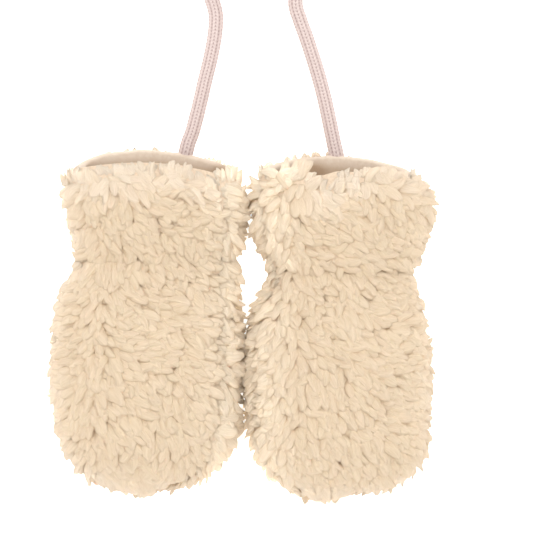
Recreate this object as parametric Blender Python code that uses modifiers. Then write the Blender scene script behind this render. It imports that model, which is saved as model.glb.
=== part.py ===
"""Pair of thumbless baby mittens in curly pile cloth, laid side by side, with the cord that joins them.

A mitten is a soft tube, closed at the fingertips and open at the cuff. Its wall is as thick as the cloth
and its pile together. Two seams run along the tube and part it into a front and a back panel, and the
gathered wrist parts the hand from the cuff, which stands a little proud of it. A smooth lining shows in
the mouth. The knitted cord leaves the back rim of each cuff, and its spare length lies in a round coil.

Frame: X runs across the pair, Y from the fingertips to the cuffs, Z up from the surface it lies on. The
origin is under the middle of the two mittens. Tables and sizes are in millimetres.
"""

from collections import namedtuple
from dataclasses import dataclass, replace

import bmesh
import bpy
import numpy as np

MM = 0.001

# The cloth and how it is sewn.
SEAM_GAP = 0.35        # clear space between neighbouring pieces
PILE_WALL = 8.0        # backing and pile together
WAIST = 13.0           # height of a tube's widest line above the surface
ROUNDNESS = 2.4        # exponent of the tube's sections: 2 is an ellipse, more is boxier
FLATTENING = 1.15      # how far the underside would reach below the surface, as a share of the waist
LINING_WALL = 1.2
RIM_BEAD = 2.2         # how far the lining's rolled rim stands past the back of the cuff
RIM_COVER = 2.6        # how far that roll laps over the edge of the pile cloth

# How finely the faceted solids are cut.
HAND_STATIONS = 9
TIP_STATIONS = 7
CUFF_STATIONS = 6
PANEL_COLUMNS = 17
LINING_COLUMNS = 28

# The cord.
CORD_RADIUS = 2.5
CORD_STEP = 8.0        # distance between the points of its solid's centreline
COIL_CENTRE = (0.5, 168.0)
COIL_INNER = 18.6
COIL_OUTER = 34.2
COIL_HEIGHT = 10.4
COIL_CORNER = 2.4
COIL_STEPS = 40

# One row for each cross section of a hand, from where the round fingertip starts up to the wrist: its
# place along the mitten, its left and right edges, and the height of its top.
HandSection = namedtuple("HandSection", "y left right top")
# One row for each cross section of a cuff. Along runs from 0 at the wrist to 1 at the rim.
CuffSection = namedtuple("CuffSection", "along left right top wall")
# The cuff's edge: the height of its corners, the bow of its middle, the drop from its left to its right
# corner over half the width, and how much lower the front is than the back.
Rim = namedtuple("Rim", "corner bow lean drop")
# The angles, in degrees from the right-hand side over the top, at which the two seams run.
Seams = namedtuple("Seams", "right left")
# The point of the rounded tip, and the exponent of its outline.
Tip = namedtuple("Tip", "x y exponent")


@dataclass(frozen=True)
class Mitten:
    """Sizes of one mitten, in millimetres."""

    side: str
    hand: tuple
    tip: Tip
    cuff: tuple
    rim: Rim
    wrist: float
    seams: Seams


LEFT = Mitten(
    side="left",
    hand=(
        HandSection(-34.0, -71.8, -1.4, 33.5),
        HandSection(-25.0, -72.8, -0.4, 34.0),
        HandSection(-8.0, -73.0, -0.2, 33.5),
        HandSection(6.0, -71.2, -1.0, 31.5),
        HandSection(17.0, -66.6, -2.2, 28.0),
        HandSection(26.0, -62.0, -3.0, 25.0),
    ),
    tip=Tip(-38.0, -65.6, 2.35),
    cuff=(
        CuffSection(0.0, -63.8, -1.4, 28.0, 8.0),
        CuffSection(0.25, -65.6, 0.8, 30.0, 8.0),
        CuffSection(0.55, -68.0, 1.4, 31.0, 8.0),
        CuffSection(0.80, -69.2, 1.2, 29.5, 7.0),
        CuffSection(1.0, -66.8, -0.6, 26.5, 5.0),
    ),
    rim=Rim(58.5, 4.65, -1.5, 1.65),
    wrist=26.0,
    seams=Seams(45.0, 205.0),
)

RIGHT = Mitten(
    side="right",
    hand=(
        HandSection(-38.0, 1.8, 71.8, 33.5),
        HandSection(-25.0, 0.8, 72.4, 34.0),
        HandSection(-8.0, 1.6, 71.6, 33.5),
        HandSection(4.0, 4.0, 69.6, 31.5),
        HandSection(14.0, 8.2, 66.4, 28.0),
        HandSection(21.5, 11.6, 63.6, 25.0),
    ),
    tip=Tip(33.0, -66.8, 2.3),
    cuff=(
        CuffSection(0.0, 9.4, 66.8, 28.0, 8.0),
        CuffSection(0.25, 6.2, 70.4, 30.0, 8.0),
        CuffSection(0.55, 3.4, 72.6, 31.0, 8.0),
        CuffSection(0.80, 3.2, 73.0, 29.5, 7.0),
        CuffSection(1.0, 5.4, 68.4, 26.5, 5.0),
    ),
    rim=Rim(57.0, 3.4, -0.9, 2.1),
    wrist=21.5,
    seams=Seams(22.0, 148.0),
)

# Where the cord runs, from each cuff's rim to the side of the coil.
LEFT_ROUTE = (
    (-22.1, 66.4, 4.6), (-21.3, 69.6, 3.5), (-19.8, 73.6, 2.8), (-18.0, 80.2, 2.6),
    (-16.2, 87.6, 2.6), (-14.6, 94.6, 2.6), (-12.9, 101.4, 2.6), (-11.5, 108.2, 2.6),
    (-10.6, 115.0, 2.6), (-10.6, 120.0, 2.6), (-12.0, 125.2, 2.6), (-15.0, 131.2, 2.6),
    (-19.2, 138.0, 2.6), (-24.2, 145.8, 2.6), (-28.2, 154.2, 2.6), (-30.4, 161.6, 2.6),
    (-31.0, 168.0, 2.6),
)
RIGHT_ROUTE = (
    (36.2, 65.4, 4.6), (35.4, 69.0, 3.5), (34.4, 73.8, 2.8), (33.0, 80.6, 2.6),
    (31.5, 87.4, 2.6), (29.9, 93.6, 2.6), (28.1, 99.8, 2.6), (26.2, 105.8, 2.6),
    (24.4, 111.2, 2.6), (22.0, 117.8, 2.6), (20.4, 123.2, 2.6), (20.8, 128.2, 2.6),
    (22.9, 132.9, 2.7), (25.4, 138.6, 3.2), (27.4, 145.0, 4.4), (28.7, 152.0, 6.2),
    (29.3, 160.0, 7.6), (29.5, 168.0, 7.7),
)


def flowing(table, stations):
    """Columns of a table, read at the stations of a smooth curve through its rows.

    The first column holds the rows' places. Each stretch is a cubic whose slopes at its ends are those
    of the line through the rows beside them.
    """
    rows = np.array(table, dtype=float)
    places = rows[:, 0]
    slopes = np.gradient(rows, places, axis=0)
    start = np.clip(np.searchsorted(places, stations, side="right") - 1, 0, len(places) - 2)
    length = places[start + 1] - places[start]
    share = ((stations - places[start]) / length)[:, None]
    length = length[:, None]
    rest = 1.0 - share
    return (
        rows[start] * rest**2 * (1.0 + 2.0 * share)
        + rows[start + 1] * share**2 * (3.0 - 2.0 * share)
        + slopes[start] * length * share * rest**2
        - slopes[start + 1] * length * share**2 * rest
    )


@dataclass(frozen=True)
class Tube:
    """Stations along a soft tube; each field but the rim is an array with one value a station."""

    y: np.ndarray          # place along the mitten, or the share of the way to the rim
    middle: np.ndarray
    half: np.ndarray       # half the width
    low: np.ndarray        # height of the underside
    high: np.ndarray       # height of the top
    swell: np.ndarray      # 1 where the tube is full, down to 0 at the point of the tip
    start: float = 0.0
    rim: Rim = None

    def inset(self, wall):
        """The same tube, drawn in on all sides by the thickness of a wall."""
        return replace(self, half=self.half - wall, low=self.low + wall, high=self.high - wall)

    def grid(self, angles, past_rim=0.0):
        """Points of the tube, a row for each station and a column for each angle.

        A section is a superellipse about the waist, and its underside is cut flat where it would pass
        below the tube's low side.
        """
        cosine = np.cos(angles)
        sine = np.sin(angles)
        across = np.sign(cosine) * np.abs(cosine) ** (2.0 / ROUNDNESS)
        up = np.sign(sine) * np.abs(sine) ** (2.0 / ROUNDNESS)
        half = (self.half * self.swell)[:, None]
        x = self.middle[:, None] + half * across
        above = ((self.high - WAIST) * self.swell)[:, None] * up
        below = ((WAIST - self.low) * FLATTENING * self.swell)[:, None] * up
        below = np.maximum(below, (self.low - WAIST)[:, None])
        z = WAIST + np.where(up > 0.0, above, below)
        y = np.repeat(self.y[:, None], len(angles), axis=1)
        if self.rim:
            edge = self.rim.corner + self.rim.bow * (1.0 - across**2)
            edge = edge + self.rim.lean * across - self.rim.drop * up + past_rim
            y = self.start + y * (edge - self.start)
        return np.stack([x, y, z], axis=2)


def hand_tube(mitten, wall):
    """The hand, from the point of its tip up to the wrist, drawn in by the thickness of a wall."""
    first = mitten.hand[0]
    last = mitten.hand[-1]
    stations = np.linspace(first.y, last.y - SEAM_GAP / 2.0, HAND_STATIONS)
    straight = flowing(mitten.hand, stations)
    turn = np.linspace(0.0, np.pi / 2.0, TIP_STATIONS + 1)[:0:-1]
    reach = np.sin(turn) ** (2.0 / mitten.tip.exponent)
    tip_swell = np.maximum(np.cos(turn), 0.0) ** (2.0 / mitten.tip.exponent)
    tip_swell[0] = 0.0
    tip_y = first.y + (mitten.tip.y + wall - first.y) * reach
    first_middle = (first.left + first.right) / 2.0
    tip_middle = first_middle + (mitten.tip.x - first_middle) * reach**2
    full = np.ones(TIP_STATIONS)
    tube = Tube(
        y=np.concatenate([tip_y, straight[:, 0]]),
        middle=np.concatenate([tip_middle, (straight[:, 1] + straight[:, 2]) / 2.0]),
        half=np.concatenate([full * (first.right - first.left) / 2.0, (straight[:, 2] - straight[:, 1]) / 2.0]),
        low=np.full(TIP_STATIONS + HAND_STATIONS, SEAM_GAP / 2.0),
        high=np.concatenate([full * first.top, straight[:, 3]]),
        swell=np.concatenate([tip_swell, np.ones(HAND_STATIONS)]),
    )
    return tube.inset(wall)


def cuff_tube(mitten):
    """The outside of the cuff, from the wrist up to its rim, and its wall's thickness at each station."""
    rows = flowing(mitten.cuff, np.linspace(0.0, 1.0, CUFF_STATIONS))
    tube = Tube(
        y=rows[:, 0],
        middle=(rows[:, 1] + rows[:, 2]) / 2.0,
        half=(rows[:, 2] - rows[:, 1]) / 2.0,
        low=np.full(CUFF_STATIONS, SEAM_GAP / 2.0),
        high=rows[:, 3],
        swell=np.ones(CUFF_STATIONS),
        start=mitten.wrist + SEAM_GAP / 2.0,
        rim=mitten.rim,
    )
    return tube, rows[:, 4]


def strip(first, second):
    """Quads between two runs of vertex numbers."""
    return np.stack([first[:-1], first[1:], second[1:], second[:-1]], axis=1).tolist()


def wall_mesh(name, outer, inner, goes_round=False):
    """Mesh of the closed wall between two grids of the same size.

    A wall that goes round has its last column on its first, and so no sides to close.
    """
    rows, columns = outer.shape[:2]
    points = np.concatenate([outer.reshape(-1, 3), inner.reshape(-1, 3)]) * MM
    outside = np.arange(rows * columns).reshape(rows, columns)
    inside = outside + rows * columns
    faces = strip(outside[0], inside[0]) + strip(inside[-1], outside[-1])
    if not goes_round:
        faces += strip(inside[:, 0], outside[:, 0]) + strip(outside[:, -1], inside[:, -1])
    for row in range(rows - 1):
        faces += strip(outside[row + 1], outside[row]) + strip(inside[row], inside[row + 1])
    mesh = bpy.data.meshes.new(name)
    mesh.from_pydata(points.tolist(), [], faces)
    return mesh


def sewn_object(name, mesh, material, collection):
    """Object of a mesh whose doubled points are merged and whose faces all point outwards."""
    shape = bmesh.new()
    shape.from_mesh(mesh)
    bmesh.ops.remove_doubles(shape, verts=shape.verts, dist=0.000001)
    bmesh.ops.recalc_face_normals(shape, faces=shape.faces)
    shape.to_mesh(mesh)
    shape.free()
    mesh.shade_smooth()
    mesh.set_sharp_from_angle(angle=np.radians(40.0))
    mesh.materials.append(material)
    part = bpy.data.objects.new(name, mesh)
    collection.objects.link(part)
    return part


def panel(name, outer_tube, inner_tube, first_angle, last_angle, lift, material, collection):
    """One cut piece: the stretch of a tube's wall between two seams, moved clear of its neighbour."""
    angles = np.radians(np.linspace(first_angle, last_angle, PANEL_COLUMNS))
    raised = np.array([0.0, 0.0, lift])
    mesh = wall_mesh(name, outer_tube.grid(angles) + raised, inner_tube.grid(angles) + raised)
    return sewn_object(name, mesh, material, collection)


def front_and_back(name, outer_tube, inner_tube, seams, material, collection):
    """The two panels of a tube: the front over the top, and the back round the underside."""
    half_gap = SEAM_GAP / 2.0
    front = panel(
        f"{name}_front", outer_tube, inner_tube, seams.right, seams.left, half_gap, material, collection
    )
    back = panel(
        f"{name}_back", outer_tube, inner_tube, seams.left, seams.right + 360.0, -half_gap, material,
        collection,
    )
    return [front, back]


def cuff_lining(name, outside, wall, material, collection):
    """Lining tube with its rolled rim, which stands past the cuff's edge and laps over it.

    The rows go up the lining's two faces to the edge. Three more rows on each face make the roll.
    """
    angles = np.radians(np.linspace(0.0, 360.0, LINING_COLUMNS + 1))
    sine = np.sin(angles)
    # The roll is fullest at the back, and only just clears the pile at the front.
    bead = RIM_BEAD - (RIM_BEAD - 1.0) * np.clip(sine + 0.4, 0.0, 1.0)
    depth = slice(1, None)
    tube = replace(
        outside,
        y=outside.y[depth], middle=outside.middle[depth], half=outside.half[depth],
        low=outside.low[depth] - SEAM_GAP / 2.0, high=outside.high[depth], swell=outside.swell[depth],
    )
    cloth_inside = wall[depth]
    face_out = tube.inset(cloth_inside + SEAM_GAP).grid(angles)
    face_in = tube.inset(cloth_inside + SEAM_GAP + LINING_WALL).grid(angles)
    lap = tube.inset(cloth_inside - RIM_COVER).grid(angles)[-1]
    crest = tube.inset(cloth_inside - RIM_COVER / 4.0).grid(angles)[-1]

    def past_rim(row, distance):
        return row + np.stack([0.0 * distance, distance, 0.0 * distance], axis=1)

    clear = 0.0 * bead + SEAM_GAP
    face_out_rows = [past_rim(face_out[-1], clear), past_rim(lap, clear), past_rim(lap, bead * 0.7)]
    face_in_rows = [
        past_rim(face_in[-1], clear), past_rim(face_in[-1], bead * 0.7), past_rim(crest, bead),
    ]
    outer = np.concatenate([face_out, np.array(face_out_rows)])
    inner = np.concatenate([face_in, np.array(face_in_rows)])
    return sewn_object(name, wall_mesh(name, outer, inner, goes_round=True), material, collection)


def build_mitten(mitten, pile, jersey, collection):
    """The five pieces of one mitten."""
    hand_outside = hand_tube(mitten, 0.0)
    hand_inside = hand_tube(mitten, PILE_WALL)
    cuff_outside, cuff_wall = cuff_tube(mitten)
    pieces = front_and_back(
        f"{mitten.side}_hand", hand_outside, hand_inside, mitten.seams, pile, collection
    )
    pieces += front_and_back(
        f"{mitten.side}_cuff", cuff_outside, cuff_outside.inset(cuff_wall), mitten.seams, pile, collection
    )
    pieces.append(
        cuff_lining(f"{mitten.side}_cuff_lining", cuff_outside, cuff_wall, jersey, collection)
    )
    return pieces


def free_run(route):
    """Points a fixed step apart on a smooth curve through a route, up to where it meets the coil."""
    route = np.array(route)
    travelled = np.concatenate([[0.0], np.cumsum(np.linalg.norm(np.diff(route, axis=0), axis=1))])
    table = np.column_stack([travelled, route])
    fine = flowing(table, np.linspace(0.0, travelled[-1], 400))
    from_coil = np.hypot(fine[:, 1] - COIL_CENTRE[0], fine[:, 2] - COIL_CENTRE[1])
    meeting = np.argmax(from_coil < COIL_OUTER + CORD_RADIUS + SEAM_GAP)
    reach = fine[meeting - 1, 0]
    return flowing(table, np.linspace(0.0, reach, round(reach / CORD_STEP) + 1))[:, 1:]


def cord_run(name, route, material, collection):
    """Solid of a free stretch of cord: a tube along its route, with closed ends."""
    points = free_run(route) * MM
    curve = bpy.data.curves.new(name, "CURVE")
    curve.dimensions = "3D"
    curve.bevel_depth = CORD_RADIUS * MM
    curve.bevel_resolution = 2
    curve.use_fill_caps = True
    spline = curve.splines.new("POLY")
    spline.points.add(len(points) - 1)
    spline.points.foreach_set("co", np.column_stack([points, np.ones(len(points))]).ravel())
    curve.materials.append(material)
    run = bpy.data.objects.new(name, curve)
    collection.objects.link(run)
    return run


def cord_coil(name, material, collection):
    """Solid of the coiled length: a rounded rectangle turned about the coil's middle."""
    corner = np.radians(np.array([90.0, 45.0, 0.0]))
    arc_out = np.cos(corner) * COIL_CORNER
    arc_up = np.sin(corner) * COIL_CORNER
    floor = 0.1
    outer = COIL_OUTER - COIL_CORNER
    inner = COIL_INNER + COIL_CORNER
    top = floor + COIL_HEIGHT - COIL_CORNER
    bottom = floor + COIL_CORNER
    # Down the outer side, then back under and up the inner side.
    profile = np.concatenate([
        np.column_stack([outer + arc_out, top + arc_up]),
        np.column_stack([outer + arc_out[::-1], bottom - arc_up[::-1]]),
        np.column_stack([inner - arc_out, bottom - arc_up]),
        np.column_stack([inner - arc_out[::-1], top + arc_up[::-1]]),
    ]) * MM
    count = len(profile)
    mesh = bpy.data.meshes.new(name)
    points = np.column_stack([profile[:, 0], np.zeros(count), profile[:, 1]])
    mesh.from_pydata(points.tolist(), [(k, (k + 1) % count) for k in range(count)], [])
    mesh.materials.append(material)
    coil = bpy.data.objects.new(name, mesh)
    coil.location = (COIL_CENTRE[0] * MM, COIL_CENTRE[1] * MM, 0.0)
    turned = coil.modifiers.new("turned", "SCREW")
    turned.steps = COIL_STEPS
    turned.render_steps = COIL_STEPS
    turned.use_merge_vertices = True
    turned.merge_threshold = 0.00001
    turned.use_smooth_shade = True
    collection.objects.link(coil)
    return coil


def stand_over_origin(mittens, cord):
    """Move all the pieces so that the origin lies under the middle of the two mittens' box."""
    corners = np.array([vertex.co for part in mittens for vertex in part.data.vertices])
    middle = (corners.min(axis=0) + corners.max(axis=0)) / 2.0
    for part in mittens:
        for vertex in part.data.vertices:
            vertex.co.x -= middle[0]
            vertex.co.y -= middle[1]
    for part in cord:
        part.location.x -= middle[0]
        part.location.y -= middle[1]


def finish(name, colour, roughness):
    """A plain cloth material."""
    material = bpy.data.materials.new(name)
    material.use_nodes = True
    shader = material.node_tree.nodes["Principled BSDF"]
    shader.inputs["Base Color"].default_value = (*colour, 1.0)
    shader.inputs["Roughness"].default_value = roughness
    shader.inputs["Metallic"].default_value = 0.0
    return material


def build():
    """Clear the scene and make the mittens and their cord."""
    for old in list(bpy.data.objects):
        bpy.data.objects.remove(old, do_unlink=True)
    collection = bpy.data.collections.new("baby_mittens")
    bpy.context.scene.collection.children.link(collection)
    pile = finish("curly_pile", (0.86, 0.69, 0.48), 0.95)
    jersey = finish("lining_jersey", (0.74, 0.58, 0.41), 0.9)
    knit = finish("knitted_cord", (0.76, 0.56, 0.50), 0.85)
    mittens = build_mitten(LEFT, pile, jersey, collection)
    mittens += build_mitten(RIGHT, pile, jersey, collection)
    cord = [
        cord_run("cord_left_run", LEFT_ROUTE, knit, collection),
        cord_run("cord_right_run", RIGHT_ROUTE, knit, collection),
        cord_coil("cord_coil", knit, collection),
    ]
    stand_over_origin(mittens, cord)


build()
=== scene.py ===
"""Looks of a pair of baby mittens in curly pile cloth, joined by a knitted cord.

The forms' tables are those the solids are cut from, but for the fingertips, whose outline differs from the
solids' by up to 3 mm. Each pile panel becomes a thin backing cloth with many curved, pointed locks rooted
in it, each cuff gets a jersey lining with a rolled rim, and the cord becomes a tube of knitted stitches
that runs from cuff to cuff through its coil. Tables and sizes are in millimetres.
"""

import logging
import math
from dataclasses import dataclass, field, replace
from enum import Enum
from typing import Dict, List, NamedTuple, Optional, Sequence, Tuple

import bmesh
import bpy
import numpy as np
from mathutils import Matrix, Vector


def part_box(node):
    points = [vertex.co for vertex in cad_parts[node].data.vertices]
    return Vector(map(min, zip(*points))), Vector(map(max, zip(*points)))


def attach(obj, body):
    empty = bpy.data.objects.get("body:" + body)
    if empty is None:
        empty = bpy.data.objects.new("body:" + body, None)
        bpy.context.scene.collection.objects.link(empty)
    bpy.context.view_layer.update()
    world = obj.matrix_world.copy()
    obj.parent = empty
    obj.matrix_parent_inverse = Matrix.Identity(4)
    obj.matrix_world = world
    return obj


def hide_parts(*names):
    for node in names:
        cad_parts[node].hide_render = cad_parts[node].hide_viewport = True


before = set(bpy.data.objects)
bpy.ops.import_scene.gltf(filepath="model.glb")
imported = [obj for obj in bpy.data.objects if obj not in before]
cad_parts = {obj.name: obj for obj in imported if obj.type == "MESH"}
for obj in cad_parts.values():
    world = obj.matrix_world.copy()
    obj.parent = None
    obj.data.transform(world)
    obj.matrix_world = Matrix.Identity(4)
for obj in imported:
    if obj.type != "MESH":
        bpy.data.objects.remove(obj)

Array = np.ndarray
Colour = Tuple[float, float, float]
Place = Tuple[float, float, float]
Material = bpy.types.Material
Piece = bpy.types.Object
Socket = bpy.types.NodeSocket

LOG = logging.getLogger("mittens")
MM = 0.001
BODY = "root"

# The cloth, as the solids are cut: the gap at a seam, the walls' thickness, the height of the widest place
# round a mitten, the exponent of its section's outline, and how far its underside is drawn down to lie flat.
SEAM_GAP = 0.35
PILE_WALL = 8.0
LINING_WALL = 1.2
WAIST = 13.0
ROUNDNESS = 2.4
FLATTENING = 1.15
CORD_RADIUS = 2.5

# The pile: how far below the edge of a rim the first locks stand, how far the back's pile stands past the
# form's rim, what stands for the distance to a rim on a panel that has none, and the lowest a tip may lie.
RIM_MARGIN = 3.0
BACK_PAST_RIM = 4.2
NO_RIM = 99.0
LOWEST_TIP = 0.12
GOLDEN = 1.22074408460575947536


class Slot(Enum):
    """The record's material slots."""

    PILE = "curly_pile"
    LINING = "lining_jersey"
    CORD = "knitted_cord"


class HandSection(NamedTuple):
    """One cross section of a hand: its place, its left and right edges and the height of its top."""

    y: float
    left: float
    right: float
    top: float


class CuffSection(NamedTuple):
    """One cross section of a cuff: its share of the way to the rim, edges, top and wall."""

    along: float
    left: float
    right: float
    top: float
    wall: float


class Rim(NamedTuple):
    """The cuff's edge: its corners' place, its bow, its lean and how much lower its front is."""

    corner: float
    bow: float
    lean: float
    drop: float


class Fold(NamedTuple):
    """Where the lining folds into a corner of the mouth; painted shade darkens the cloth round it."""

    x: float
    y: float


class Lip(NamedTuple):
    """How far the front's pile stands past the cuff's rim at one place across it; less than 0 is a dip."""

    x: float
    past: float


class Seams(NamedTuple):
    """Angles of the two side seams, in degrees from the right-hand side over the top."""

    right: float
    left: float


class Tip(NamedTuple):
    """The rounded fingertip: its point, the exponent of its outline, and its middle's sway to the right."""

    x: float
    y: float
    exponent: float
    sway: float


class Comb(NamedTuple):
    """Which way the locks point at one place along a mitten, in degrees from +X towards the cuff."""

    y: float
    left: float
    middle: float
    right: float


class Crease(NamedTuple):
    """One soft trough pressed into the pile: its middle, direction, half length, half width, depth."""

    x: float
    y: float
    direction: float
    half_length: float
    half_width: float
    depth: float


def flowing(table: Array, stations: Array) -> Array:
    """Columns of a table, read on a smooth curve through its rows.

    Each stretch between two rows is a cubic whose end slopes are those of the rows beside them.

    Args:
        table: Rows of numbers; the first column holds the rows' places, in rising order.
        stations: Places to read, of any shape.

    Returns:
        An array of the stations' shape, with one more axis for the table's columns.
    """
    rows = np.asarray(table, dtype=float)
    places = rows[:, 0]
    slopes = np.gradient(rows, places, axis=0)
    start = np.clip(np.searchsorted(places, stations, side="right") - 1, 0, len(places) - 2)
    length = places[start + 1] - places[start]
    share = np.clip((stations - places[start]) / length, 0.0, 1.0)[..., None]
    length = length[..., None]
    rest = 1.0 - share
    return (
        rows[start] * rest**2 * (1.0 + 2.0 * share)
        + rows[start + 1] * share**2 * (3.0 - 2.0 * share)
        + slopes[start] * length * share * rest**2
        - slopes[start + 1] * length * share**2 * rest
    )


def unit(vectors: Array) -> Array:
    """Vectors of length one along the last axis."""
    return vectors / np.maximum(np.linalg.norm(vectors, axis=-1, keepdims=True), 1e-9)


def swell_noise(points: Array, wavelength: float, seed: int) -> Array:
    """Smooth noise from -1 to 1: the mean of six sine waves in seeded directions.

    Args:
        points: Places, in millimetres, with three coordinates along the last axis.
        wavelength: The usual distance between two crests, in millimetres.
        seed: Which set of waves.

    Returns:
        One value for each place.
    """
    dice = np.random.default_rng(seed)
    directions = unit(dice.normal(size=(6, 3)))
    pitch = wavelength * dice.uniform(0.7, 1.5, 6)
    phase = dice.uniform(0.0, 2.0 * np.pi, 6)
    waves = np.sin(points @ directions.T * (2.0 * np.pi / pitch) + phase)
    return waves.mean(axis=-1) * 1.6


def length_to(line: Array) -> Array:
    """Distance travelled along a line of points, from its first to each of them."""
    return np.concatenate([[0.0], np.cumsum(np.linalg.norm(np.diff(line, axis=0), axis=1))])


def soft_step(value: Array, low: float, high: float) -> Array:
    """A smooth rise from 0 at low to 1 at high."""
    share = np.clip((value - low) / (high - low), 0.0, 1.0)
    return share * share * (3.0 - 2.0 * share)


# --------------------------------------------------------------------------------------------------
# Meshes
# --------------------------------------------------------------------------------------------------


def mesh_of(name: str, points: Array, loops: Array, sizes: Array) -> bpy.types.Mesh:
    """Mesh from arrays.

    Args:
        name: The mesh's name.
        points: Vertices, in millimetres.
        loops: Vertex numbers of all the faces, one face after another.
        sizes: How many corners each face has.

    Returns:
        The smooth shaded mesh, in metres.
    """
    mesh = bpy.data.meshes.new(name)
    mesh.vertices.add(len(points))
    mesh.vertices.foreach_set("co", (np.asarray(points, dtype=np.float32) * MM).ravel())
    mesh.loops.add(len(loops))
    mesh.loops.foreach_set("vertex_index", loops.astype(np.int32))
    mesh.polygons.add(len(sizes))
    starts = np.concatenate([[0], np.cumsum(sizes)[:-1]])
    mesh.polygons.foreach_set("loop_start", starts.astype(np.int32))
    mesh.update(calc_edges=True)
    mesh.validate()
    mesh.shade_smooth()
    return mesh


def grid_quads(numbers: Array) -> Array:
    """Quads between the neighbouring rows and columns of a grid of vertex numbers."""
    corners = [numbers[:-1, :-1], numbers[:-1, 1:], numbers[1:, 1:], numbers[1:, :-1]]
    return np.stack(corners, axis=-1).reshape(-1, 4)


def add_piece(name: str, mesh: bpy.types.Mesh, finish: Material) -> Piece:
    """Object of a mesh that rides on the body, with the finish as its material."""
    mesh.materials.append(finish)
    piece = bpy.data.objects.new(name, mesh)
    bpy.context.scene.collection.objects.link(piece)
    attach(piece, BODY)
    return piece


def wall_piece_mesh(name: str, outer: Array, inner: Array) -> bpy.types.Mesh:
    """Closed wall between two grids of the same size, with repeated points merged.

    Args:
        name: The mesh's name.
        outer: Grid of the outer face's points, rows by columns by three.
        inner: Grid of the inner face's points.

    Returns:
        The mesh, with its faces pointing out of the wall.
    """
    rows, columns = outer.shape[:2]
    outside = np.arange(rows * columns).reshape(rows, columns)
    inside = outside + rows * columns
    bands = [
        outside[::-1],
        inside,
        np.stack([outside[0], inside[0]]),
        np.stack([inside[-1], outside[-1]]),
        np.stack([inside[:, 0], outside[:, 0]]),
        np.stack([outside[:, -1], inside[:, -1]]),
    ]
    quads = np.concatenate([grid_quads(band) for band in bands])
    points = np.concatenate([outer.reshape(-1, 3), inner.reshape(-1, 3)])
    raw = mesh_of(name, points, quads.ravel(), np.full(len(quads), 4))
    return merged(raw)


def merged(mesh: bpy.types.Mesh) -> bpy.types.Mesh:
    """The mesh with doubled points made one and every face turned outwards."""
    shape = bmesh.new()
    shape.from_mesh(mesh)
    bmesh.ops.remove_doubles(shape, verts=shape.verts, dist=0.000002)
    bmesh.ops.recalc_face_normals(shape, faces=shape.faces)
    shape.to_mesh(mesh)
    shape.free()
    mesh.shade_smooth()
    return mesh


# --------------------------------------------------------------------------------------------------
# Finishes
# --------------------------------------------------------------------------------------------------


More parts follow.
